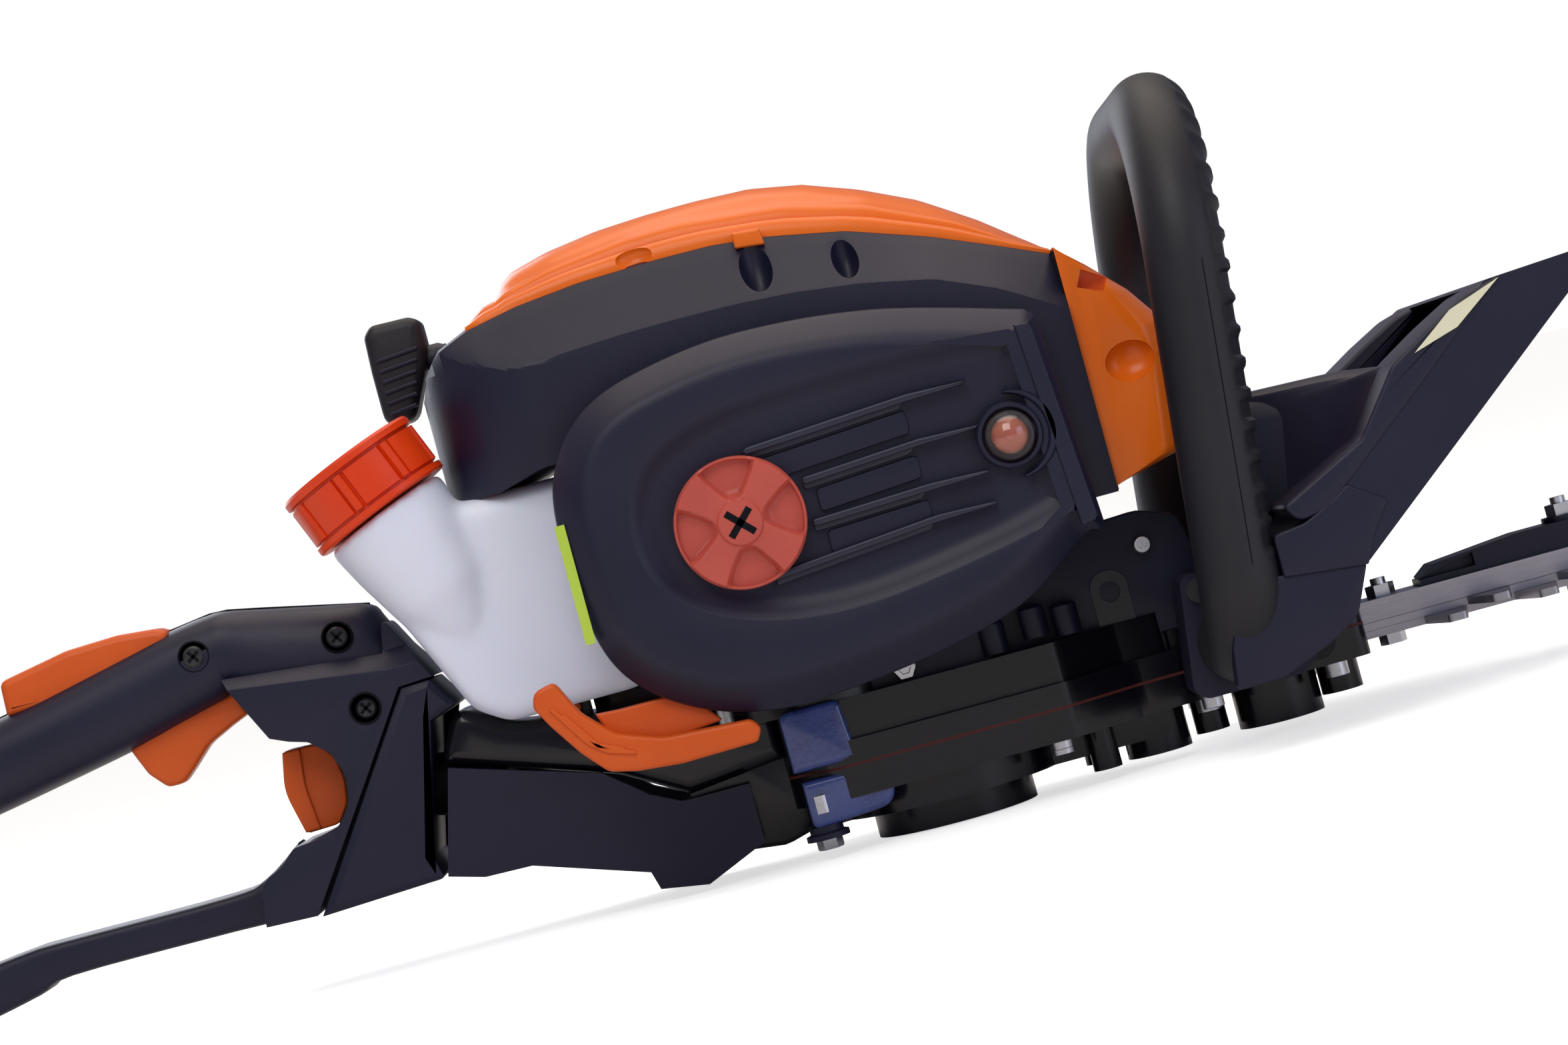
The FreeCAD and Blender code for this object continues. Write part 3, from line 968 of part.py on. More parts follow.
def levers():
    """Throttle trigger, throttle lock, their pins, the lock button and the stop switch."""
    half = "lever_width"
    (tx, tz), (lx, lz) = PINS
    trigger = slab("throttle_trigger", [(-261, 109), (-257, 95, 4), (-250, 88, 3), (-244, 89.5, 3), (-236, 98, 10),
                                        (-222, 105, 4), (-213.5, 109, 2), (-217, 124.5, 4), (-227, 124.5, 4), (-232, 119)],
                   "XZ_Plane", "0", half)
    pocket(trigger, "trigger_bore", "XZ_Plane", "0", "40", [], [(str(tx), str(tz), "lever_pin_radius + pin_clearance")])
    piece("throttle_trigger", trigger)
    lock = slab("throttle_lock", [(-303, 130.6, 1), (-303, 145, 4), (-275, 150, 10), (-240, 149.5, 4), (-235, 146.5, 1),
                                  (-237, 130, 3), (-249, 130, 3), (-252, 138)], "XZ_Plane", "0", "lock_width")
    pocket(lock, "lock_bore", "XZ_Plane", "0", "40", [], [(str(lx), str(lz), "lever_pin_radius + pin_clearance")])
    piece("throttle_lock", lock)
    pins = [cylinder(f"lever_pin_{i}", "lever_pin_radius", "18.6", str(x), "-9.3", str(z), Y) for i, (x, z) in enumerate(PINS)]
    pins[1] = cylinder("lever_pin_wide", "lever_pin_radius", "29", str(lx), "-14.5", str(lz), Y)
    piece("lever_pins", group("lever_pins", pins))
    button = slab("swivel_lock_button", [(-205, 90, 3), (-208.5, 75, 40), (-205, 58, 3), (-193, 58, 8), (-186.5, 75, 14), (-193, 90, 8)],
                  "XZ_Plane", "0", "18")
    piece("swivel_lock_button", button)


def collar_and_swivel():
    """The collar at the handle's front, the fixed spigot it turns on, and the sprung lock button."""
    seam = [(-153.6, 103.2), (-143, 103.5, 3), (-135.6, 92, 3), (-147.5, 88.5), (-160.6, 39.2), (-157, 29.5, 3), (-204.2, 27.6, 3)]
    solid_block = slab("collar_block", seam, "XZ_Plane", "0", "handle_body_width + 3")
    barrel = common("collar_barrel", solid_block, on_swivel("collar_round", "43", -90, 150))
    bore = on_swivel("collar_bore", "12.06", -60, 100)
    flange = on_swivel("collar_flange_room", "16.5", -60, 46)
    front = on_swivel("collar_front", "60", -0.1 - size("swivel_gap"), 60)
    piece("handle_collar", cut("handle_collar", barrel, bore, flange, front))
    spigot = [on_swivel("spigot_shaft", "12", -20.5, 27.2), on_swivel("spigot_head", "15.8", -22.5, 6.2)]
    piece("swivel_spigot", fuse("swivel_spigot", *spigot))


# ---------------------------------------------------------------- frame arms, front handle, guard
def bracket():
    """The bracket that carries the rear handle, its swivel ring, rubber mounts and the engine's rear arm."""
    side = [(-150, 71), (-90, 52.5), (-75, 40), (-64, 34.5), (-38, 34.5), (-38, 12), (-62, 2), (-80, 5), (-82, 12), (-124, 26),
            (-142, 26.5, 3), (-158, 31)]
    arm = slab("bracket_arm", side, "XZ_Plane", "0", "62")
    pocket(arm, "bracket_room", "XY_Plane", "0", "200", [[(-124, -26), (-42, -26), (-42, 26), (-124, 26)]])
    behind = on_swivel("bracket_behind", "80", -60, 60)
    socket = on_swivel("bracket_socket", "12.03", -5, 12)
    piece("handle_bracket", cut("handle_bracket", arm, behind, socket))
    mounts = [cylinder(f"av_mount_{i}", "8", "13.7", "-37.8", y, "23", X) for i, y in enumerate(("-14", "14"))]
    rubbers = [cylinder(f"front_mount_{i}_{j}", "7.5", "5.9", x, y, "30.5", way) for i, x in enumerate(("158", "180"))
               for j, (y, way) in enumerate((("24.1", Y), ("-24.1", Y * -1)))]
    piece("av_mounts", group("av_mounts", mounts + rubbers))


def front_handle():
    """The bent tube of the front handle and the feet that hold it."""
    half, lean = size("front_handle_half"), math.radians(size("front_handle_lean"))
    low, high = size("front_handle_bottom"), size("front_handle_top")
    bend, knee = size("front_bend"), 26.0

    def at(y, z):
        return V(149 + (z - low) * math.tan(lean), y, z)

    def corner(point, before, after, radius):
        first = point + (before - point).normalize() * radius
        last = point + (after - point).normalize() * radius
        middle = point + ((before - point).normalize() + (after - point).normalize()) * radius * (1 - math.sqrt(0.5))
        return first, last, Part.Arc(first, middle, last)

    stations = [at(-62, low), at(-half, low), at(-half, high), at(half, high), at(half, low), at(62, low)]
    edges, last = [], stations[0]
    for i, radius in ((1, knee), (2, bend), (3, bend), (4, knee)):
        first, following, arc = corner(stations[i], stations[i - 1], stations[i + 1], radius)
        edges += [Part.LineSegment(last, first).toShape(), arc.toShape()]
        last = following
    edges.append(Part.LineSegment(last, stations[-1]).toShape())
    profile = Part.Wire([Part.makeCircle(size("front_tube_radius"), stations[0], Y)])
    tube = Part.Wire(edges).makePipeShell([profile], True, False)
    piece("front_handle", solid("front_handle", tube))
    foot = [(128, 22, 6), (170, 22, 10), (186, 37, 6), (196, 57, 3), (172, 64, 6), (134, 68, 4)]
    feet = []
    for side in (-1, 1):
        feet.append(slab(f"foot_{side + 1}", foot, "XZ_Plane", f"{side} * 46", "31.6"))
    piece("handle_feet", group("handle_feet", feet))
    heads = [bind(doc.addObject("Part::Cylinder", f"foot_screw_{i}"), Radius="4.5", Height="3") for i in range(4)]
    for i, head in enumerate(heads):
        way = Y if i % 2 else Y * -1
        place(head, "181" if i < 2 else "139.5", str(61.9 * way.y), "50" if i < 2 else "61.5", turn(way))
    piece("foot_screws", group("foot_screws", heads))


def guard():
    """The sloping hand guard, its cowl over the front of the engine, and the fixing screws."""
    half = "guard_half_width"
    plate = slab("guard_plate", [(172, 64.6), (262, 143, 6), (304, 145.5, 3), (290, 131), (197, 57.6)], "XZ_Plane", "0",
                 f"2 * {half}")
    pocket(plate, "guard_hollow", "XZ_Plane", "0", f"2 * {half} - 2 * guard_skin",
           [[(150, 60.6), (196, 61), (288, 134), (299, 142.4), (263, 141), (240, 150)]])
    piece("hand_guard", plate)
    cowl = [(160, 69), (160, 127.5), (212, 124.5, 8), (233, 100, 6), (198, 64.5)]
    shell = slab("cowl_shell", cowl, "XZ_Plane", "0", "104")
    pocket(shell, "cowl_room", "XZ_Plane", "0", "99", [[(150, 60), (150, 125), (211, 121.9, 6), (229.6, 99.8, 4), (190, 59)]])
    piece("guard_cowl", shell)


def labels():
    """The two plain stickers: one on the filter cover's rear edge, one on the guard's flange."""
    strip = block("cover_label", "0.7", "14", "43", "-77.05", "cover_face + 12", "104", FreeCAD.Rotation(Y, -3.43))
    plate = block("guard_label", "34", "0.7", "14", "236", "-0.8 - guard_half_width", "101", FreeCAD.Rotation(Y, -41))
    piece("labels", group("labels", [strip, plate]))


# ---------------------------------------------------------------- the whole machine
def rods_and_blades():
    """The two rods and the two blades, the upper one half a tooth pitch ahead of the lower."""
    conrod("conrod_lower", "rod_lower_bottom", "23.2", "1.3")
    conrod("conrod_upper", "rod_upper_bottom", "30.4", "1.4")
    blade("blade_lower", "blade_bottom", size("tooth_first"))
    blade("blade_upper", "blade_bottom + blade_thickness + blade_gap", size("tooth_first") + size("tooth_pitch") / 2)


STEPS = [gearbox_lower, gearbox_gasket, gearbox_upper, gearbox_bolts, drive_gear, pinion_shaft, bearings, clutch,
         rods_and_blades, guide_bar, debris_deflector, blade_bolts, engine, starter, engine_shroud, top_cover, front_cover,
         air_filter_side, fuel_system, rear_handle, levers, handle_screws, collar_and_swivel, bracket, front_handle, guard,
         labels]


def build():
    """Builds every piece, checks it and writes its STEP file."""
    for step in STEPS:
        step()
    doc.recompute()
    for item in doc.Objects:
        if "Invalid" in item.State or "Error" in item.State:
            raise RuntimeError(f"{item.Name}: {item.State}")
    os.makedirs("parts", exist_ok=True)
    whole = FreeCAD.BoundBox()
    for label, item in PIECES.items():
        if item.Shape.isNull() or not item.Shape.isValid():
            raise RuntimeError(f"{label}: shape is null or not valid")
        item.Shape.exportStep(f"parts/{label}.step")
        whole.add(item.Shape.BoundBox)
        print(label, item.Shape.BoundBox, len(item.Shape.Solids))
    print(len(PIECES), "pieces", whole)


build()
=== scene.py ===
"""Looks of a petrol hedge trimmer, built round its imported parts.

Lengths in the classes are millimetres in the machine's own side view: x forward
along the blade, y across it and z up. at() turns them into metres of the row.
"""

import json
import logging
import math
from collections.abc import Callable
from dataclasses import dataclass
from enum import Enum
from typing import ClassVar

import bmesh
import bpy
from mathutils import Matrix, Vector

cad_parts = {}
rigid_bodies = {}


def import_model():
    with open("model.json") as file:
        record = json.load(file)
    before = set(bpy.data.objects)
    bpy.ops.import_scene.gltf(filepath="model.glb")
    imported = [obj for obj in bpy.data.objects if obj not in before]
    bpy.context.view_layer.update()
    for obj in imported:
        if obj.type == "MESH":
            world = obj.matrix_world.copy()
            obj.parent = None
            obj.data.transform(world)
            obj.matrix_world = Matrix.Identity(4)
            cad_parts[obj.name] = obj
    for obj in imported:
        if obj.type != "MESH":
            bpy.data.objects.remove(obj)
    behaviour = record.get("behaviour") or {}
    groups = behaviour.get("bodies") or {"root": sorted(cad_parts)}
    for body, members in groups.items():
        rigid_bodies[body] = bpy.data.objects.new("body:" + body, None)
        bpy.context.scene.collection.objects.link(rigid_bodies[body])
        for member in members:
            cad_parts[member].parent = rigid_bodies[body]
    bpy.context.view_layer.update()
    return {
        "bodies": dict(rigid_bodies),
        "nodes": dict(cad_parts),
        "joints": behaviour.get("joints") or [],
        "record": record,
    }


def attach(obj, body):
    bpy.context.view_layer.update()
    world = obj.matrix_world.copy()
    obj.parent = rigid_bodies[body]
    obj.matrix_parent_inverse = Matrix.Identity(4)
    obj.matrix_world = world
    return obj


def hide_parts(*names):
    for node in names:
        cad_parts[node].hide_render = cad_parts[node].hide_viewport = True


LOG = logging.getLogger("hedge_trimmer")
SHIFT = -195.33
MM = 0.001
Colour = tuple[float, float, float]
Plan = list[tuple[float, ...]]
Ring = list[Vector]
Line = list[tuple[float, float]]
UP, AHEAD = Vector((0, 0, 1)), Vector((1, 0, 0))
ACROSS, NEAR = Vector((0, 1, 0)), Vector((0, -1, 0))
BUMP_DEPTH = 0.00022
COAT_ROUGHNESS = 0.12
SCATTER_DEPTH = 0.012
BEVEL_STEPS = 3
MITRE_LIMIT = 0.35
UNFOLD_PASSES = 40
TINY = 1e-9
WELD = 1e-7


class Grain(Enum):
    """How the fine surface of a finish is made: its scale per metre and its bump."""

    NONE = (400.0, 0.0)
    FINE = (1900.0, 0.16)
    MOULDED = (1300.0, 0.3)
    CAST = (520.0, 0.75)
    FOAM = (900.0, 1.0)
    WOVEN = (2600.0, 0.8)


# ---------------------------------------------------------------- finishes
@dataclass(frozen=True)
class Finish:
    """A procedural finish with mottled colour, varied roughness and a fine bump."""

    name: str
    slot: str
    colour: Colour
    second: Colour
    roughness: float = 0.45
    spread: float = 0.08
    grain: Grain = Grain.FINE
    metallic: float = 0.0
    coat: float = 0.0
    specular: float = 0.5
    blotch: float = 28.0
    stretch: tuple[float, float, float] = (1.0, 1.0, 1.0)
    transmission: float = 0.0
    subsurface: float = 0.0

    def material(self) -> bpy.types.Material:
        """Builds the node material, or gives the one already built.

        Returns:
            The Blender material of this finish.
        """
        known = bpy.data.materials.get(f"{self.name}_look")
        if known:
            return known
        made = bpy.data.materials.new(f"{self.name}_look")
        made.use_nodes = True
        nodes, links = made.node_tree.nodes, made.node_tree.links
        shader = nodes["Principled BSDF"]
        place = nodes.new("ShaderNodeTexCoord")
        mapping = nodes.new("ShaderNodeMapping")
        mapping.inputs["Scale"].default_value = self.stretch
        links.new(place.outputs["Object"], mapping.inputs["Vector"])
        patch = self.noise(made, mapping, self.blotch, 4.0)
        speck = self.noise(made, mapping, self.grain.value[0], 3.0)
        self.paint(made, patch, speck)
        rough = nodes.new("ShaderNodeMapRange")
        rough.inputs["To Min"].default_value = max(self.roughness - self.spread, 0.03)
        rough.inputs["To Max"].default_value = min(self.roughness + self.spread, 1.0)
        links.new(patch.outputs["Fac"], rough.inputs["Value"])
        links.new(rough.outputs["Result"], shader.inputs["Roughness"])
        for socket, value in (("Metallic", self.metallic), ("Coat Weight", self.coat),
                              ("Coat Roughness", COAT_ROUGHNESS), ("Specular IOR Level", self.specular),
                              ("Transmission Weight", self.transmission),
                              ("Subsurface Weight", self.subsurface), ("Subsurface Scale", SCATTER_DEPTH)):
            shader.inputs[socket].default_value = value
        if self.grain.value[1] > 0:
            bump = nodes.new("ShaderNodeBump")
            bump.inputs["Strength"].default_value = self.grain.value[1]
            bump.inputs["Distance"].default_value = BUMP_DEPTH
            links.new(speck.outputs["Fac"], bump.inputs["Height"])
            links.new(bump.outputs["Normal"], shader.inputs["Normal"])
        return made

    @staticmethod
    def noise(made: bpy.types.Material, mapping: bpy.types.Node, scale: float,
              detail: float) -> bpy.types.Node:
        """Adds a noise texture.

        Args:
            made: The material that gets the node.
            mapping: The node that gives the texture its place.
            scale: Waves per metre.
            detail: Octaves.

        Returns:
            The noise node.
        """
        node = made.node_tree.nodes.new("ShaderNodeTexNoise")
        node.inputs["Scale"].default_value = scale
        node.inputs["Detail"].default_value = detail
        made.node_tree.links.new(mapping.outputs["Vector"], node.inputs["Vector"])
        return node

    def paint(self, made: bpy.types.Material, patch: bpy.types.Node, speck: bpy.types.Node) -> None:
        """Joins the two colours through the noises.

        Args:
            made: The material.
            patch: The coarse noise.
            speck: The fine noise.
        """
        nodes, links = made.node_tree.nodes, made.node_tree.links
        blend = nodes.new("ShaderNodeMix")
        blend.data_type = "FLOAT"
        blend.inputs[0].default_value = 0.3
        links.new(patch.outputs["Fac"], blend.inputs[2])
        links.new(speck.outputs["Fac"], blend.inputs[3])
        ramp = nodes.new("ShaderNodeValToRGB")
        ramp.color_ramp.elements[0].position = 0.36
        ramp.color_ramp.elements[1].position = 0.64
        ramp.color_ramp.elements[0].color = (*self.colour, 1)
        ramp.color_ramp.elements[1].color = (*self.second, 1)
        links.new(blend.outputs[0], ramp.inputs["Fac"])
        links.new(ramp.outputs["Color"], nodes["Principled BSDF"].inputs["Base Color"])


@dataclass(frozen=True)
class TwoStickers(Finish):
    """Two plain stickers in one finish, parted by their place along the machine."""

    front_colour: Colour = (0.78, 0.77, 0.55)

    def paint(self, made: bpy.types.Material, patch: bpy.types.Node, speck: bpy.types.Node) -> None:
        """Paints the rear sticker in the finish's tones and the front one in its own.

        Args:
            made: The material.
            patch: The coarse noise.
            speck: The fine noise.
        """
        nodes, links = made.node_tree.nodes, made.node_tree.links
        super().paint(made, patch, speck)
        ramp = next(n for n in nodes if n.type == "VALTORGB")
        place = nodes.new("ShaderNodeTexCoord")
        split = nodes.new("ShaderNodeSeparateXYZ")
        links.new(place.outputs["Object"], split.inputs[0])
        front = nodes.new("ShaderNodeMath")
        front.operation = "GREATER_THAN"
        front.inputs[1].default_value = 0.0
        links.new(split.outputs["X"], front.inputs[0])
        mix = nodes.new("ShaderNodeMix")
        mix.data_type = "RGBA"
        mix.inputs[7].default_value = (*self.front_colour, 1)
        links.new(front.outputs[0], mix.inputs[0])
        links.new(ramp.outputs["Color"], mix.inputs[6])
        links.new(mix.outputs[2], nodes["Principled BSDF"].inputs["Base Color"])


# Charcoal plastic; its strong blue tint is painted bluish ambient light, not the plastic's own colour.
BLACK = Finish("charcoal_plastic", "black_plastic", (0.0060, 0.0060, 0.024), (0.0085, 0.0085, 0.029), 0.45,
               0.07, specular=0.38)
BLACK_SOFT = Finish("soft_grip_plastic", "black_plastic", (0.0085, 0.0085, 0.013), (0.012, 0.0115, 0.017),
                    0.5, 0.06, Grain.MOULDED, specular=0.4)
ORANGE = Finish("orange_plastic", "orange_plastic", (0.80, 0.145, 0.006), (0.86, 0.165, 0.009), 0.3, 0.05,
                coat=0.08, specular=0.3)
CAP_RED = Finish("cap_plastic", "red_plastic", (0.72, 0.040, 0.001), (0.78, 0.055, 0.002), 0.36, 0.06,
                 specular=0.4)
CONTROL = Finish("control_plastic", "control_plastic", (0.62, 0.090, 0.010), (0.68, 0.105, 0.012), 0.36, 0.06,
                 specular=0.3)
KNOB_RED = Finish("knob_plastic", "control_plastic", (0.46, 0.075, 0.055), (0.56, 0.095, 0.066), 0.38, 0.06,
                  specular=0.4)
TANK = Finish("tank_plastic", "tank_plastic", (0.74, 0.78, 0.96), (0.80, 0.84, 0.99), 0.38, 0.06,
              subsurface=0.35, blotch=14.0)
CASE = Finish("case_paint", "case_paint", (0.0028, 0.0028, 0.0060), (0.0045, 0.0045, 0.0085), 0.24, 0.07,
              Grain.FINE, coat=0.22, specular=0.3)
GASKET = Finish("gasket_sheet", "gasket", (0.07, 0.006, 0.005), (0.10, 0.008, 0.006), 0.7, 0.05)
BLADE = Finish("ground_steel", "blade_steel", (0.34, 0.33, 0.37), (0.44, 0.43, 0.47), 0.36, 0.1, Grain.FINE,
               1.0, stretch=(0.06, 1.0, 1.6), blotch=160.0)
ZINC = Finish("zinc_plate", "zinc_steel", (0.55, 0.56, 0.60), (0.68, 0.69, 0.72), 0.3, 0.1, Grain.FINE, 1.0,
              blotch=220.0)
STEEL = Finish("machined_steel", "machined_steel", (0.38, 0.38, 0.40), (0.46, 0.46, 0.47), 0.34, 0.1,
               Grain.FINE, 1.0, blotch=120.0)
ALUMINIUM = Finish("cast_aluminium", "cast_aluminium", (0.48, 0.49, 0.50), (0.60, 0.61, 0.62), 0.46, 0.1,
                   Grain.CAST, 1.0, blotch=60.0)
RUBBER = Finish("rubber", "rubber", (0.010, 0.010, 0.011), (0.018, 0.018, 0.018), 0.68, 0.1, Grain.MOULDED)
FOAM = Finish("open_foam", "foam", (0.02, 0.02, 0.022), (0.055, 0.055, 0.06), 0.9, 0.05, Grain.FOAM,
              blotch=700.0)
BULB = Finish("clear_bulb", "bulb", (0.90, 0.86, 0.86), (0.95, 0.92, 0.92), 0.06, 0.02, Grain.NONE,
              transmission=0.96)
ROPE = Finish("braided_rope", "cord", (0.03, 0.03, 0.03), (0.10, 0.10, 0.10), 0.8, 0.06, Grain.WOVEN,
              blotch=900.0)
LABEL = TwoStickers("plain_stickers", "label", (0.50, 0.72, 0.06), (0.58, 0.80, 0.10), 0.4, 0.05, Grain.NONE)
# Painted reflection: the strong blue of the gear case's cast pads stands in for blue light mirrored in their
# glossy paint; the cast bump and the coat are the paint's own.
CASE_REFLECTION = Finish("case_painted_reflection", "case_paint", (0.030, 0.050, 0.20), (0.050, 0.080, 0.29), 0.28, 0.1,
                    Grain.CAST, coat=0.6, blotch=120.0)
HOT = Finish("heat_tinted_steel", "hot_steel", (0.12, 0.10, 0.09), (0.20, 0.18, 0.17), 0.5, 0.12, Grain.CAST,
             1.0, blotch=50.0)
# Painted shade: a near-black colour put in the knob's cross slot, the screw wells and slots and on the swivel
# spigot, where there is only shade; the same finish draws the dark seams.
SHADE_AND_SEAMS = Finish("painted_shade_and_seams", "black_plastic", (0.003, 0.003, 0.006), (0.005, 0.005, 0.009), 0.6, 0.05,
             specular=0.12)
# Painted highlight: a lighter, bluer copy of the charcoal plastic that stands in for the light on the cover
# ribs' tops.
RIB_HIGHLIGHT = Finish("rib_painted_highlight", "black_plastic", (0.010, 0.011, 0.030), (0.014, 0.015, 0.038), 0.4, 0.06)
SCREW = Finish("blackened_screw", "zinc_steel", (0.025, 0.025, 0.03), (0.05, 0.05, 0.056), 0.33, 0.1,
               metallic=0.5)
BY_SLOT = {f.slot: f for f in (SHADE_AND_SEAMS, RIB_HIGHLIGHT, SCREW, BLACK, ORANGE, CAP_RED, CONTROL, TANK, CASE, GASKET, BLADE,
                               ZINC, STEEL, ALUMINIUM, RUBBER, FOAM, BULB, ROPE, LABEL, HOT)}


# ---------------------------------------------------------------- shape tools
def both_ways(stations: Line) -> Line:
    """Adds the far side's stations to the near side's, given from the outside in."""
    return stations + [(-y, depth) for y, depth in stations[::-1]]


def at(x: float, y: float, z: float) -> Vector:
    """Gives the point of the row frame, in metres, for a place on the machine."""
    return Vector(((x + SHIFT) * MM, y * MM, z * MM))


def rounded(points: Plan, steps: int = 6) -> Line:
    """Rounds the corners of a closed outline.

    Args:
        points: Corners as (x, z) or (x, z, radius).
        steps: Pieces in each rounded corner.

    Returns:
        The dense outline.
    """
    out: Line = []
    for i, point in enumerate(points):
        here = Vector(point[:2])
        radius = point[2] if len(point) > 2 else 0.0
        before = (Vector(points[i - 1][:2]) - here)
        after = (Vector(points[(i + 1) % len(points)][:2]) - here)
        if radius <= 0:
            out.append((here.x, here.y))
            continue
        angle = before.angle(after)
        cut = min(radius / math.tan(angle / 2), before.length * 0.49, after.length * 0.49)
        first, last = here + before.normalized() * cut, here + after.normalized() * cut
        for k in range(steps + 1):
            t = k / steps
            spot = first * (1 - t) ** 2 + here * 2 * t * (1 - t) + last * t * t
            out.append((spot.x, spot.y))
    return out


def between(four: Plan, steps: int) -> Plan:
    """Runs a smooth curve from the second to the third of four points.

    Args:
        four: The points, with as many values each.
        steps: Pieces between the two.

    Returns:
        The points of the curve, without the last.
    """
    out = []
    for k in range(steps):
        t = k / steps
        shares = (-0.5 * t + t * t - 0.5 * t ** 3, 1 - 2.5 * t * t + 1.5 * t ** 3,
                  0.5 * t + 2 * t * t - 1.5 * t ** 3, -0.5 * t * t + 0.5 * t ** 3)
        out.append(tuple(sum(w * v for w, v in zip(shares, values)) for values in zip(*four)))
    return out


def curved(points: Plan, steps: int = 8) -> Line:
    """Runs a smooth closed curve through points; a third value marks a corner.

    Args:
        points: (x, z) pairs, or (x, z, 1) where the curve turns sharply.
        steps: Pieces between two points.

    Returns:
        The dense outline.
    """
    out: Line = []
    count = len(points)
    for i in range(count):
        b, c = points[i], points[(i + 1) % count]
        a = b if len(b) > 2 else points[i - 1]
        d = c if len(c) > 2 else points[(i + 2) % count]
        out += between([p[:2] for p in (a, b, c, d)], steps)
    return out


def anticlockwise(points: Line) -> Line:
    """Gives an outline so that it runs counter-clockwise."""
    area = sum(a[0] * b[1] - b[0] * a[1] for a, b in zip(points, points[1:] + points[:1]))
    return points if area > 0 else points[::-1]


def resample(points: Line, count: int, centre: tuple[float, float]) -> Line:
    """Spreads a closed outline's points evenly, starting straight right of a centre.

    Args:
        points: The outline.
        count: How many points to give.
        centre: The point that the start is measured from.

    Returns:
        The outline with that many points, counter-clockwise.
    """
    ring = anticlockwise(points)
    crossings = [i for i, (a, b) in enumerate(zip(ring, ring[1:] + ring[:1]))
                 if a[1] <= centre[1] < b[1] and a[0] > centre[0]]
    start = max(crossings, key=lambda i: ring[i][0]) if crossings else 0
    ring = ring[start:] + ring[:start]
    first, second = Vector(ring[0]), Vector(ring[1])
    share = (centre[1] - first.y) / (second.y - first.y) if crossings else 0.0
    head = first.lerp(second, share)
    line = [head] + [Vector(p) for p in ring[1:]] + [first, head]
    lengths = [0.0]
    for a, b in zip(line, line[1:]):
        lengths.append(lengths[-1] + (b - a).length)
    out, k = [], 0
    for i in range(count):
        goal = lengths[-1] * i / count
        while lengths[k + 1] < goal:
            k += 1
        span = max(lengths[k + 1] - lengths[k], TINY)
        spot = line[k].lerp(line[k + 1], (goal - lengths[k]) / span)
        out.append((spot.x, spot.y))
    return out


def inset(points: Line, depth: float) -> Line:
    """Moves a counter-clockwise outline inwards by a depth and closes up what folds over.

    Args:
        points: The outline.
        depth: How far, in millimetres.

    Returns:
        The moved outline with as many points.
    """
    if depth == 0:
        return list(points)
    count = len(points)
    line = [Vector(p) for p in points]
    out = []
    for i in range(count):
        before, after = line[i] - line[i - 1], line[(i + 1) % count] - line[i]
        ways = [w.normalized() for w in (before, after) if w.length > TINY] or [Vector((1, 0))]
        sides = [Vector((-w.y, w.x)) for w in ways]
        lean = sides[0] + sides[-1]
        out.append(line[i] + lean * (depth / max(1 + sides[0].dot(sides[-1]), MITRE_LIMIT)))
    for _ in range(UNFOLD_PASSES):
        folded = False
        for i in range(count):
            j = (i + 1) % count
            if (out[j] - out[i]).dot(line[j] - line[i]) < -TINY:
                out[i] = out[j] = (out[i] + out[j]) / 2
                folded = True
        if not folded:
            break
    return [(p.x, p.y) for p in out]


def blend_lines(first: Line, second: Line,
                share: float) -> Line:
    """Mixes two outlines that have the same number of points."""
    return [(a[0] + (b[0] - a[0]) * share, a[1] + (b[1] - a[1]) * share) for a, b in zip(first, second)]


def height(line: Plan, x: float) -> float:
    """Reads a broken line's height; beyond its ends it runs level.

    Args:
        line: (x, z) pairs in order.
        x: The place to read at.

    Returns:
        The height there.
    """
    if x <= line[0][0]:
        return line[0][1]
    for (xa, za), (xb, zb) in zip(line, line[1:]):
        if x <= xb:
            return za + (zb - za) * (x - xa) / max(xb - xa, TINY)
    return line[-1][1]


def linked(name: str, data: bpy.types.ID) -> bpy.types.Object:
    """Makes an object of some data and links it to the scene."""
    made = bpy.data.objects.new(name, data)
    bpy.context.scene.collection.objects.link(made)
    return made


def soften(made: bpy.types.Object, width: float, angle: float) -> None:
    """Adds a bevel modifier.

    Args:
        made: The object that gets it.
        width: The bevel's width in millimetres.
        angle: Edges above this angle, in degrees, are softened.
    """
    bevel = made.modifiers.new("edges", "BEVEL")
    bevel.width = width * MM
    bevel.segments = BEVEL_STEPS
    bevel.limit_method = "ANGLE"
    bevel.angle_limit = math.radians(angle)


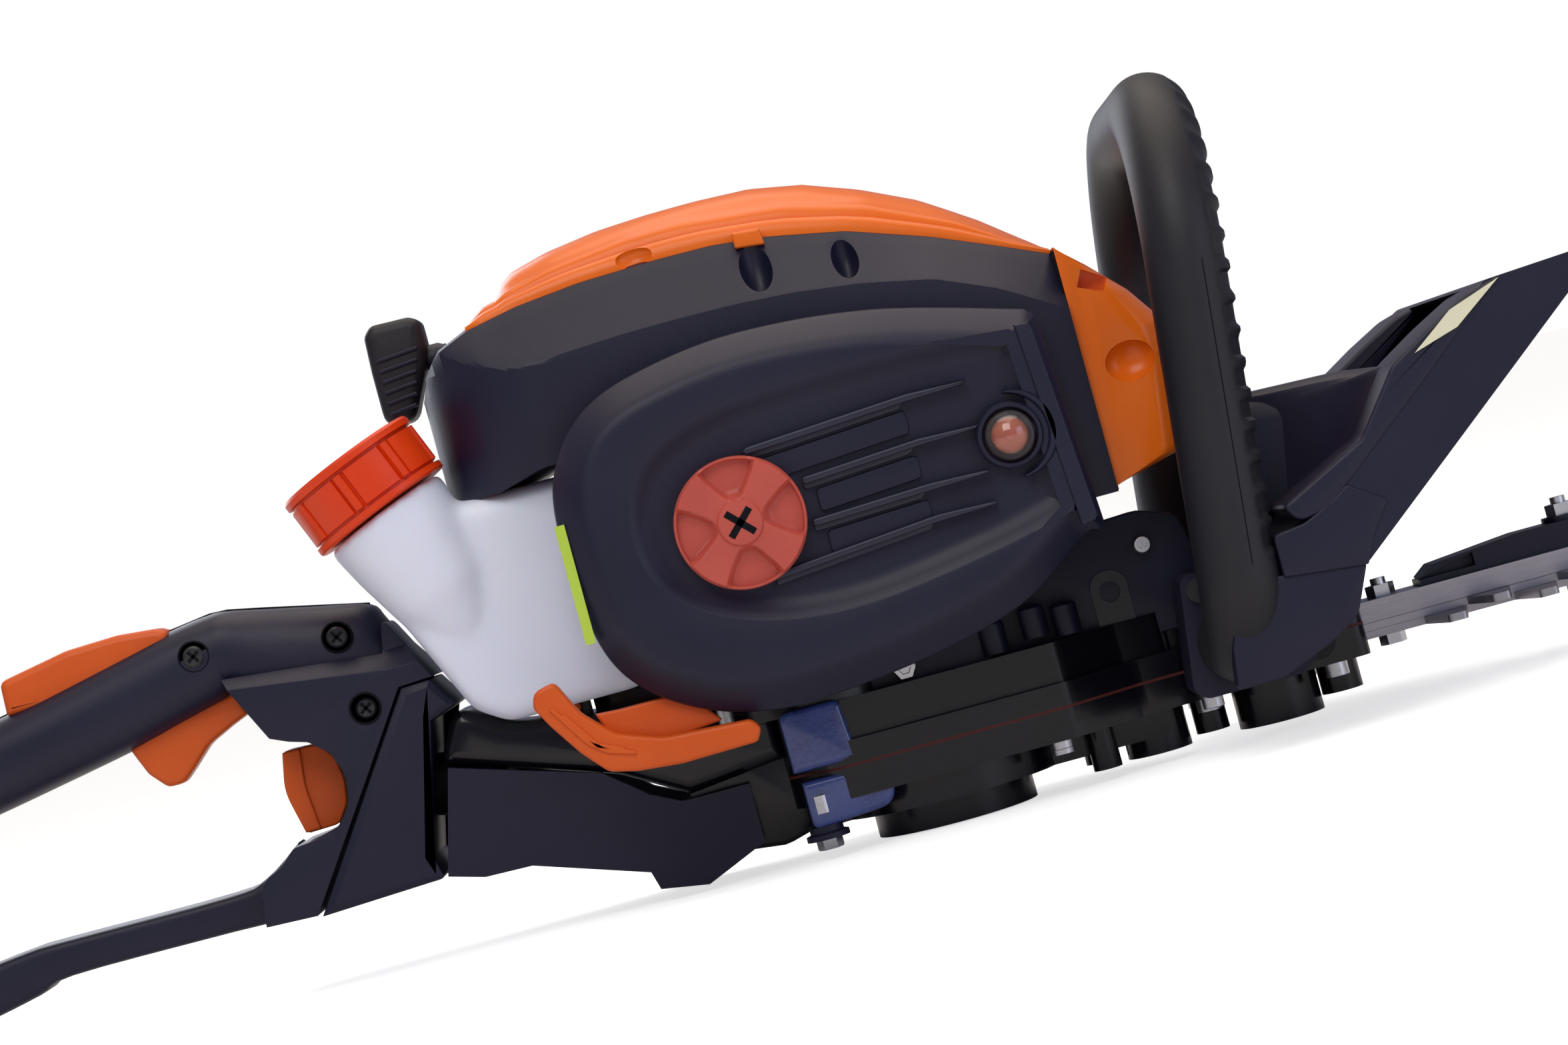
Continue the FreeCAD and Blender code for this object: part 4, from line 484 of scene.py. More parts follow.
@dataclass
class Part:
    """A mesh in the making: its name, finish and body, and its faces so far."""

    name: str
    finish: Finish
    body: str
    sharp: float = 32.0

    def __post_init__(self) -> None:
        """Starts an empty mesh."""
        self.mesh = bmesh.new()

    def loft(self, rings: list[Ring], closed: bool = False, caps: bool = True) -> "Part":
        """Joins rings of equal length into a skin.

        Args:
            rings: The rings in order.
            closed: True when the last ring joins the first.
            caps: True to close both ends.

        Returns:
            This part.
        """
        rows = [[self.mesh.verts.new(p) for p in ring] for ring in rings]
        pairs = list(zip(rows, rows[1:])) + ([(rows[-1], rows[0])] if closed else [])
        for a, b in pairs:
            for i in range(len(a)):
                j = (i + 1) % len(a)
                self.mesh.faces.new((a[i], a[j], b[j], b[i]))
        if caps and not closed:
            self.mesh.faces.new(rows[0][::-1])
            self.mesh.faces.new(rows[-1])
        return self

    def pebble(self, outline: Plan, stations: Line, count: int = 96,
               raw: bool = False) -> "Part":
        """Lofts a side outline across the machine, inset by an amount at each station.

        Args:
            outline: Corners of the side view.
            stations: (y, inset) pairs in order.
            count: Points round the outline.
            raw: True to keep the outline's own points.

        Returns:
            This part.
        """
        line = rounded(outline)
        if raw:
            base = anticlockwise(line)
        else:
            middle = (sum(p[0] for p in line) / len(line), sum(p[1] for p in line) / len(line))
            base = resample(line, count, middle)
        return self.loft([[at(x, y, z) for x, z in inset(base, d)] for y, d in stations])

    def soft(self, outline: Plan, low: float, high: float, edge: float, count: int = 96) -> "Part":
        """Lofts an outline between two y places with rounded edges.

        Args:
            outline: Corners of the side view.
            low: The near end's y.
            high: The far end's y.
            edge: Radius of the rounded edges.
            count: Points round the outline.

        Returns:
            This part.
        """
        turns = [1 - math.cos(math.pi / 2 * k / 4) for k in range(5)]
        rims = [(edge * s, edge * (1 - math.sin(math.acos(max(min(1 - s, 1), -1))))) for s in turns]
        stations = [(low + s, d) for s, d in rims] + [(high - s, d) for s, d in rims[::-1]]
        return self.pebble(outline, stations, count)

    def turned(self, profile: Plan, origin: Vector, axis: Vector, count: int = 64, hollow: bool = False,
               shape: Callable[[float, float, float], float] | None = None) -> "Part":
        """Turns a profile round an axis.

        Args:
            profile: (radius, height) pairs in millimetres.
            origin: The axis's foot in the row frame.
            axis: The axis's direction.
            count: Segments round the axis.
            hollow: True when the profile is a closed section away from the axis.
            shape: A function of (angle, radius, height) that gives another radius.

        Returns:
            This part.
        """
        turn = UP.rotation_difference(axis.normalized()).to_matrix()
        rings = []
        for r, h in profile:
            ring = []
            for k in range(count):
                a = 2 * math.pi * k / count
                rr = shape(a, r, h) if shape else r
                ring.append(origin + turn @ Vector((rr * math.cos(a), rr * math.sin(a), h)) * MM)
            rings.append(ring)
        return self.loft(rings, closed=hollow)

    def tube(self, path: Ring, radius: float, sides: int = 20,
             dent: Callable[[int, Vector], float] | None = None) -> "Part":
        """Sweeps a round section along a path.

        Args:
            path: Points in the row frame.
            radius: Radius in millimetres.
            sides: Points round the section.
            dent: A function of (point number, outward direction) giving a depth in millimetres.

        Returns:
            This part.
        """
        rings, up = [], AHEAD
        for i, spot in enumerate(path):
            way = (path[min(i + 1, len(path) - 1)] - path[max(i - 1, 0)]).normalized()
            side = way.cross(up).normalized()
            lift = side.cross(way).normalized()
            ring = []
            for k in range(sides):
                a = 2 * math.pi * k / sides
                out = side * math.cos(a) + lift * math.sin(a)
                depth = dent(i, out) if dent else 0.0
                ring.append(spot + out * (radius - depth) * MM)
            rings.append(ring)
        return self.loft(rings)

    def cross(self, x: float, z: float, turn: float, half: tuple[float, float],
              depths: tuple[float, float]) -> None:
        """Adds the two bars of a cross-head slot.

        Args:
            x: The middle along the machine.
            z: The middle's height.
            turn: The first bar's angle in degrees.
            half: A bar's half length and half width.
            depths: The near and the far y.
        """
        for angle in (turn, turn + 90):
            a = math.radians(angle)
            d, n = Vector((math.cos(a), math.sin(a))), Vector((-math.sin(a), math.cos(a)))
            corners = [d * u * half[0] + n * v * half[1] for u, v in ((-1, -1), (1, -1), (1, 1), (-1, 1))]
            self.pebble([(x + c.x, z + c.y) for c in corners], [(y, 0) for y in depths], raw=True)

    def bare(self) -> bpy.types.Object:
        """Turns the faces so far into an object that has no finish yet."""
        bmesh.ops.recalc_face_normals(self.mesh, faces=self.mesh.faces)
        data = bpy.data.meshes.new(self.name)
        self.mesh.to_mesh(data)
        self.mesh.free()
        return linked(self.name, data)

    def done(self, *replaced: str, bevel: float = 0.0, cutters: list[bpy.types.Object] | None = None,
             melt: float = 0.0) -> bpy.types.Object:
        """Makes the object, dresses it and hands it to its body.

        Args:
            replaced: CAD nodes that this part stands for.
            bevel: Width in millimetres of the softened edges.
            cutters: Objects to cut away, removed afterwards.
            melt: Grid size in millimetres when the closed shapes flow into one skin.

        Returns:
            The finished object.
        """
        bmesh.ops.remove_doubles(self.mesh, verts=self.mesh.verts, dist=WELD)
        made = self.bare()
        for blade in cutters or []:
            change = made.modifiers.new("cut", "BOOLEAN")
            change.operation = "DIFFERENCE"
            change.solver = "EXACT"
            change.object = blade
        if bevel:
            soften(made, bevel, self.sharp)
        if melt:
            join = made.modifiers.new("join", "REMESH")
            join.mode = "VOXEL"
            join.voxel_size = melt * MM
            smooth = made.modifiers.new("smooth", "SMOOTH")
            smooth.factor = 0.5
            smooth.iterations = 14
        graph = bpy.context.evaluated_depsgraph_get()
        final = bpy.data.meshes.new_from_object(made.evaluated_get(graph))
        made.modifiers.clear()
        made.data = final
        mark_edges(final, self.sharp)
        for blade in cutters or []:
            bpy.data.objects.remove(blade)
        made.data.materials.clear()
        made.data.materials.append(self.finish.material())
        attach(made, self.body)
        if replaced:
            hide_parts(*replaced)
        LOG.info("%s: %d faces", self.name, len(final.polygons))
        return made

    def tool(self) -> bpy.types.Object:
        """Gives the bare mesh as a cutter."""
        made = self.bare()
        bpy.context.view_layer.update()
        return made


def mark_edges(data: bpy.types.Mesh, angle: float) -> None:
    """Shades a mesh smooth but keeps sharp edges crisp.

    Args:
        data: The mesh.
        angle: Edges above this angle, in degrees, stay crisp.
    """
    work = bmesh.new()
    work.from_mesh(data)
    for face in work.faces:
        face.smooth = True
    for edge in work.edges:
        edge.smooth = edge.calc_face_angle(0.0) < math.radians(angle)
    work.to_mesh(data)
    work.free()


def cutter(name: str, radii: tuple[float, float, float], middle: Vector) -> bpy.types.Object:
    """Makes an ellipsoid to cut a recess with.

    Args:
        name: The cutter's name.
        radii: Its half lengths in millimetres.
        middle: Its centre in the row frame.

    Returns:
        The cutter.
    """
    part = Part(name, SHADE_AND_SEAMS, "machine")
    bmesh.ops.create_uvsphere(part.mesh, u_segments=40, v_segments=24, radius=1.0)
    for vert in part.mesh.verts:
        vert.co = middle + Vector([c * r * MM for c, r in zip(vert.co, radii)])
    return part.tool()


def drill(name: str, radius: float, x: float, z: float, y0: float, y1: float) -> bpy.types.Object:
    """Makes a round cutter across the machine."""
    part = Part(name, SHADE_AND_SEAMS, "machine")
    return part.turned([(radius, 0), (radius, y1 - y0)], at(x, y0, z), ACROSS, 40).tool()


# ---------------------------------------------------------------- engine covers
@dataclass
class EngineCovers:
    """The black shroud, the orange dome over it and the orange nose."""

    corner: float = 50.0
    rear: float = -119.0
    length: float = 240.0
    side: float = 64.0
    flat: float = 14.0
    bevel: float = 18.0
    skirt_at: float = 43.0
    skirt: float = 3.0
    shoulder_at: float = 36.0
    shoulder: float = 5.0
    lip_height: float = 0.2
    overlap: float = 3.5

    def build(self) -> None:
        """Builds the three covers."""
        self.shroud()
        self.dome()
        self.nose()

    TOP: ClassVar[Plan] = [(-119, 204), (-117, 209), (-108, 219.5), (-95, 225), (-75, 229), (-50, 231.5),
                           (-20, 232.2), (0, 232), (20, 230), (50, 224), (80, 213.5), (105, 203), (121, 196)]
    BREAK: ClassVar[Plan] = [(-119, 197.5), (-105, 200), (-90, 202.4), (-62, 205.8), (-38, 206.9), (-18, 207),
                             (4, 206.6), (25, 205.2), (50, 202), (76, 196.5), (98, 187), (121, 173)]
    SKIRT: ClassVar[Plan] = [(-119, 166), (-108, 162.8), (-98, 162.8), (-80, 167.5), (60, 168)]
    CROWN: ClassVar[Plan] = [(-95, 226), (-93, 229), (-88, 232.5), (-82, 233.8), (-79, 239.5), (-75, 243),
                             (-60, 247), (-40, 249.8), (-20, 250.8), (0, 251), (20, 250.2), (40, 246.5),
                             (60, 239), (80, 229.5), (100, 216), (115, 204), (121, 198.5)]
    RIDGE: ClassVar[Plan] = [(-95, 225.5), (-92, 228), (-87, 231.5), (-82, 232.5), (-78, 235), (-60, 239.5),
                             (-30, 243), (-10, 243.3), (30, 239.5), (60, 231.5), (90, 217.5), (110, 204),
                             (121, 197.6)]

    def shroud(self) -> None:
        """Lofts the shroud with its long bevel and round rear corners."""
        part = Part("shroud_shell", BLACK, "machine", 24.0)
        xs = [self.rear + self.length * k / 60 for k in range(61)]
        rings = []
        for y in (-64, -63.2, -62, -59, -55, -51, -47, -42, -34, -26, -16, 0, 16, 26, 34, 42, 47, 51, 55, 59,
                  62, 63.2, 64):
            side = abs(y)
            share = min(max((self.side - side) / self.bevel, 0), 1)
            rear = self.rear
            if side > self.flat:
                away = side - self.flat
                rear = self.rear + self.corner - math.sqrt(max(self.corner ** 2 - away ** 2, 0))
            upper = [(x, height(self.BREAK, x) * (1 - share) + height(self.TOP, x) * share) for x in xs[::-1]]
            lower = [(x, height(self.SKIRT, max(x, rear))) for x in (-119, -108, -98, -80, 60)]
            lower += [(84, 167), (98, 150), (106, 104), (121, 104)]
            line = [(max(x, rear), z) for x, z in upper + lower]
            rings.append([at(x, y, z) for x, z in line])
        part.loft(rings)
        cuts = [cutter(f"slot_{i}", (w, 9, h), at(x, -57, z)) for i, (x, z, w, h) in
                enumerate(((14.5, 221, 6.2, 15), (47, 214, 5, 11)))]
        part.done("engine_shroud", bevel=1.3, cutters=cuts)
        tab = Part("shroud_tab", ORANGE, "machine")
        tab.soft([(9, 227), (20, 225.8), (19.5, 232), (9, 233)], -52, -46.5, 1.0, 40).done()

    def dome(self) -> None:
        """Builds the dome as a height field with a ridge and a rear step."""
        part = Part("dome_shell", ORANGE, "machine", 40.0)
        xs = sorted({-95 + 216 * k / 72 for k in range(73)} | {-93, -88, -82, -79})
        ys = (-46, -45.6, -44.8, -43.6, -43, -41, -40.8, -40, -38.6, -36, -33, -28, -20, -10, 0)
        ys = ys + tuple(-y for y in ys[-2::-1])
        rings = []
        for y in ys:
            side = abs(y)
            line = []
            for x in xs:
                edge = height(self.TOP, x) + 0.4
                ridge = height(self.RIDGE, x)
                crown = height(self.CROWN, x)
                rim = edge + (ridge - edge) * 0.46
                if side > self.skirt_at:
                    fall = (side - self.skirt_at) / self.skirt
                    z = edge + (rim - edge) * math.sqrt(max(1 - fall ** 2, 0))
                elif side > 40.9:
                    z = rim + self.lip_height
                elif side > self.shoulder_at:
                    fall = (side - self.shoulder_at) / self.shoulder
                    z = rim + (ridge - rim) * math.sqrt(max(1 - fall ** 2, 0))
                else:
                    z = ridge + (crown - ridge) * (1 - (side / self.shoulder_at) ** 4)
                line.append((x, z))
            under = [(x, height(self.TOP, x) - self.overlap) for x in xs[::-1]]
            rings.append([at(x, y, z) for x, z in line + under])
        part.loft(rings)
        part.done("top_cover", cutters=[cutter(f"dome_recess_{i}", (7, 4.4, 4.2), at(-28, s * 46.4, 234.2))
                                        for i, s in enumerate((-1, 1))])

    def nose(self) -> None:
        """Lofts the nose with round front corners and an oval recess on each side."""
        part = Part("nose_shell", ORANGE, "machine", 30.0)
        line = rounded([(121.3, 196.5), (132, 188, 8), (145, 175, 12), (155.6, 160, 6), (155.8, 150, 8),
                        (150, 113, 4), (121.3, 106)], 5)
        rings = []
        for y in (-60, -59.5, -58.5, -56.5, -53, -48, -40, 0, 40, 48, 53, 56.5, 58.5, 59.5, 60):
            side = abs(y)
            pull = 1 - 0.3 * max((side - 40) / 20, 0) ** 3
            edge = 1.0 if side > 59.8 else 0.0
            rings.append([at(121.3 + (x - 121.3) * pull - (edge if x > 125 else 0), y, z) for x, z in line])
        part.loft(rings)
        cuts = [cutter(f"nose_recess_{i}", (9.5, 6, 7.5), at(138, s * 60.5, 149)) for i,
                s in enumerate((-1, 1))]
        slot = Part("nose_slot", SHADE_AND_SEAMS, "machine").pebble([(126, 180), (135, 176), (138, 181), (129, 186)],
                                                        [(-70, 0), (-52, 0)], 40).tool()
        part.done("front_cover", bevel=0.8, cutters=[*cuts, slot])
        seam = Part("nose_seam", SHADE_AND_SEAMS, "machine")
        seam.pebble([(120.6, 104.6), (121.6, 104.6), (121.6, 195.4), (120.6, 195.4)], [(-59.4, 0), (59.4, 0)],
                    raw=True).done()


# ---------------------------------------------------------------- air filter side
@dataclass
class FilterSide:
    """The air filter cover with its knob, ribs, primer and the choke paddle."""

    face: float = -98.0
    back: float = -67.0
    knob_x: float = -15.0
    knob_z: float = 129.0
    primer_x: float = 86.0
    primer_z: float = 134.0

    OUTLINE: ClassVar[Plan] = [(-79, 150), (-73, 168), (-60, 182.5), (-38, 191), (0, 195.6), (50, 191),
                               (104, 176.5, 1), (107, 173, 1), (111.5, 94, 1), (109.5, 92, 1), (103, 92),
                               (76, 74.5), (40, 65), (0, 60.4), (-25, 61.4), (-46, 68), (-64, 80),
                               (-74.5, 96), (-78.6, 120)]
    EGG: ClassVar[Plan] = [(-53, 130), (-50, 147), (-39, 161), (-16, 169.5), (14, 172), (55, 172.6),
                           (95, 169.6, 1), (98, 167, 1), (101.5, 106, 1), (99, 103, 1), (72, 96.5), (25, 90),
                           (-8, 92), (-33, 101), (-48, 114)]

    def build(self) -> None:
        """Builds the cover and what sits on it."""
        self.cover()
        self.ribs()
        self.knob()
        self.primer()
        self.choke()

    def cover(self) -> None:
        """Lofts the cover's rim, its broad bevel and its egg-shaped recess."""
        part = Part("filter_cover_shell", BLACK, "machine", 22.0)
        centre = (15.0, 128.0)
        base = resample(curved(self.OUTLINE), 220, centre)
        egg = resample(curved(self.EGG), 220, centre)
        rings = [[at(x, y, z) for x, z in inset(base, d)] for y, d in
                 ((self.back, 0.6), (self.back - 0.6, 0), (self.face + 13.5, 0), (self.face + 11.5, 0.4),
                  (self.face + 10, 1.4), (self.face + 3.2, 8.2), (self.face + 1.4, 10.2),
                  (self.face + 0.6, 12), (self.face + 0.4, 14))]
        rings.append([at(x, self.face + 0.3, z) for x, z in inset(egg, -1.2)])
        for depth, d in ((0.7, 0.0), (2.6, 2.6), (4.2, 5.4), (4.8, 7.4), (5.0, 9.4)):
            rings.append([at(x, self.face + depth, z) for x, z in inset(egg, d)])
        part.loft(rings)
        part.done("air_filter_cover")
        band = Part("cover_band", BLACK, "machine")
        band.soft([(97.5, 172), (103.5, 171, 1), (109, 97, 1), (102.5, 96)], self.face - 0.6, self.face + 4,
                  0.8, 60).done()

    def ribs(self) -> None:
        """Adds the four cooling ribs to the right of the knob, each thick and then thin, in a lighter finish
        that paints the light on their tops.
        """
        # Painted highlight: the ribs are lighter than the cover to stand in for the light on their tops.
        part = Part("cover_ribs", RIB_HIGHLIGHT, "machine")
        shade = Part("cover_louvres", BLACK, "machine")
        for i, (z, fall) in enumerate(((153, 3.5), (137.5, 2.5), (122, 1.5), (107, 5))):
            start = -8 if i in (0, 3) else 10
            part.soft([(start, z - 1.3), (54, z + fall - 1.2), (75, z + fall - 0.6), (76.5, z + fall + 0.6),
                       (54, z + fall + 1.4), (start, z + 1.3)], self.face - 0.6, self.face + 8, 0.7, 60)
            part.soft([(start, z - 3.2), (50, z + fall - 3.2), (53, z + fall), (start, z)],
                      self.face + 2.6, self.face + 8, 0.5, 50)
            if i < 3:
                shade.soft([(start + 4, z - 12.5), (52, z + fall - 12.5), (52, z + fall - 4),
                            (start + 4, z - 4)],
                           self.face + 3.2, self.face + 8, 0.5, 40)
        part.done()
        shade.done()

    def knob(self) -> None:
        """Builds the knob as a height field with four flared arms and a slotted hub."""
        part = Part("knob_disc", KNOB_RED, "knob", 50.0)
        radii = [0.01, 1.5, 3, 4.5, 6, 7.2, 7.8, 8.4, 9, 10, 11.5, 13, 15, 17, 19, 20.5, 21.5, 22.3, 23]
        front = self.face - 4.6
        rings = []
        count = 144
        for r in radii:
            ring = []
            for k in range(count):
                a = 2 * math.pi * k / count
                ring.append(at(self.knob_x + r * math.cos(a), front + self.dish(r, a),
                               self.knob_z + r * math.sin(a)))
            rings.append(ring)
        for r, y in ((23.6, 1.0), (23.95, 2.0), (24, 3.5), (24, 9.5)):
            rings.append([at(self.knob_x + r * math.cos(2 * math.pi * k / count), front + y,
                             self.knob_z + r * math.sin(2 * math.pi * k / count)) for k in range(count)])
        part.loft(rings).done("filter_knob")
        # Painted shade: the hub's cross slot is a thin near-black sheet that stands in for the slot's shade.
        slot = Part("knob_cross_shade", SHADE_AND_SEAMS, "knob")
        slot.cross(self.knob_x, self.knob_z, 45, (6.2, 1.25), (front - 1.15, front + 0.4))
        slot.done()

    @staticmethod
    def dish(r: float, a: float) -> float:
        """Gives how deep the knob's face lies.

        Args:
            r: Distance from the knob's axis in millimetres.
            a: Angle round the axis in radians.

        Returns:
            The depth in millimetres.
        """
        hub = -1.0 if r < 8 else 0.0
        best = min(abs((a - math.radians(45 + 90 * k) + math.pi) % (2 * math.pi) - math.pi) for k in range(4))
        arc = r * math.sin(min(best, math.pi / 2))
        half = 4.3 + 0.012 * max(r - 8, 0) ** 2
        over = min(max((arc - half) / 1.8, 0), 1)
        inside = min(max((r - 8.6) / 2.0, 0), 1) * min(max((23.2 - r) / 0.9, 0), 1)
        return hub + 4.4 * over * over * (3 - 2 * over) * inside

    def primer(self) -> None:
        """Adds the primer's ring, its finger lip and the red valve seen through the bulb."""
        ring = Part("primer_ring", BLACK, "machine")
        origin = at(self.primer_x, self.face + 6, self.primer_z)
        ring.turned([(9.7, 0), (9.7, 6.6), (10.2, 7.4), (11.4, 7.4), (12, 6.6), (12, 0)], origin, NEAR,
                    hollow=True)
        ring.done()
        lip = Part("primer_lip", BLACK, "machine")
        rings = []
        for k in range(29):
            a = math.radians(-84 + 168 * k / 28)
            thick = 1.5 * math.sin(math.radians(6 + 168 * k / 28)) + 0.35
            ring_points = []
            for dr, dy in ((-thick, 0), (-thick, 6.2), (-thick * 0.5, 7), (thick * 0.5, 7), (thick, 6.2),
                           (thick, 0)):
                r = 15.6 + dr
                ring_points.append(at(self.primer_x + r * math.cos(a), self.face + 6.4 - dy,
                                      self.primer_z + r * math.sin(a)))
            rings.append(ring_points)
        lip.loft(rings).done()
        valve = Part("primer_valve", CONTROL, "machine")
        valve.turned([(0.01, 3.4), (1.8, 3.2), (2.1, 2.4), (4.6, 1.6), (6.2, 0.2), (6.9, -1.4), (6.9, -5)],
                     at(self.primer_x, self.face, self.primer_z), NEAR, 40).done()

    def choke(self) -> None:
        """Builds the Y-shaped choke paddle and its inner arm."""
        part = Part("choke_paddle", CONTROL, "choke", 40.0)
        part.soft([(-104.5, 84, 3), (-103, 89.5, 4), (-95, 91.5, 3), (-88.5, 78, 14), (-78, 67.5, 14),
                   (-62, 62, 16), (-30, 60, 2), (-27, 56, 2), (-29.5, 51.5, 2), (-58, 51, 16), (-74, 52.6, 8),
                   (-84, 55, 6), (-92, 64, 14), (-100, 76, 12)], -91, -81.4, 1.6, 110)
        part.soft([(-84, 76), (-75, 75.5), (-57, 75.5, 2), (-46, 70, 3), (-40, 62), (-62, 60), (-80, 66, 4)],
                  -82.5, -77, 1.0, 60)
        part.done("choke_lever")
        ridge = Part("choke_ridges", CONTROL, "choke")
        for d in (0, 3.4):
            ridge.soft([(-99 + d, 82 - d), (-97.4 + d, 82.6 - d), (-87 + d, 67 - d * 0.8, 10),
                        (-76 + d, 62 - d * 0.6), (-76 + d, 60.6 - d * 0.6), (-88 + d, 65 - d * 0.8, 10)], -92,
                       -90, 0.4, 60)
        ridge.done()


# ---------------------------------------------------------------- tank
@dataclass
class FuelTank:
    """The translucent tank with its neck in one skin, and its ribbed cap."""

    tilt: float = -22.0

    OUTLINE: ClassVar[Plan] = [(-159, 158.5, 4), (-155, 145, 8), (-129, 88, 9), (-117, 80.3, 8),
                               (-63.3, 80.3, 6), (-63.3, 163.7, 6), (-126, 163.7, 10), (-143, 163.5, 6)]

    def build(self) -> None:
        """Builds the tank and its cap."""
        part = Part("tank_shell", TANK, "machine", 40.0)
        stations = [(-52, 9), (-51.8, 6.5), (-50.8, 3.6), (-48.5, 1.5), (-45, 0.4), (-40, 0)]
        part.pebble(self.OUTLINE, both_ways(stations), 120)
        way = Vector((math.sin(math.radians(self.tilt)), 0, math.cos(math.radians(self.tilt))))
        foot = at(-142, -42, 167.5)
        part.turned([(4, -62), (12, -54), (20, -36), (23.4, -16), (24.6, -5), (24.8, -0.4), (0.01, -0.3)],
                    foot, way, 72)
        part.done("fuel_tank", melt=1.7)
        self.cap(foot, way)
        grommet = Part("line_grommet", CONTROL, "machine")
        grommet.turned([(5.5, 0), (6.5, 0.8), (6.5, 2.6), (3.4, 5.2), (3, 5.4)], at(-98, -24, 80.2),
                       Vector((0, 0, -1)), 32).done()

    def cap(self, foot: Vector, way: Vector) -> None:
        """Turns the cap with raised panels between its ribs.

        Args:
            foot: The foot of the cap's axis.
            way: The cap's axis.
        """
        part = Part("cap_shell", CAP_RED, "cap", 30.0)

        def shape(a: float, r: float, h: float) -> float:
            """Cuts a groove round each raised panel."""
            if not 3.4 < h < 20.6 or r < 26:
                return r
            share = ((math.degrees(a) + 8.2) / 45) % 1.0
            rib = share < 0.075 or share > 0.925
            groove = 0.075 <= share < 0.125 or 0.875 < share <= 0.925
            if rib:
                return 28.0
            return 25.9 if groove else 27.3

        profile = [(22, 0.4), (27.4, 0.4), (28, 1), (28, 3.2), (25.9, 3.5), (25.9, 4.4), (27.31, 4.6),
                   (27.32, 19.4), (25.9, 19.6), (25.9, 20.5), (28, 20.8), (28, 23), (27.2, 24.1),
                   (22.5, 24.1), (21.5, 23), (0.01, 22.8)]
        part.turned(profile, foot, way, 320, shape=lambda a, r, h: shape(a, r, h) if 4.5 < h < 19.5 else r)
        part.done("fuel_cap")


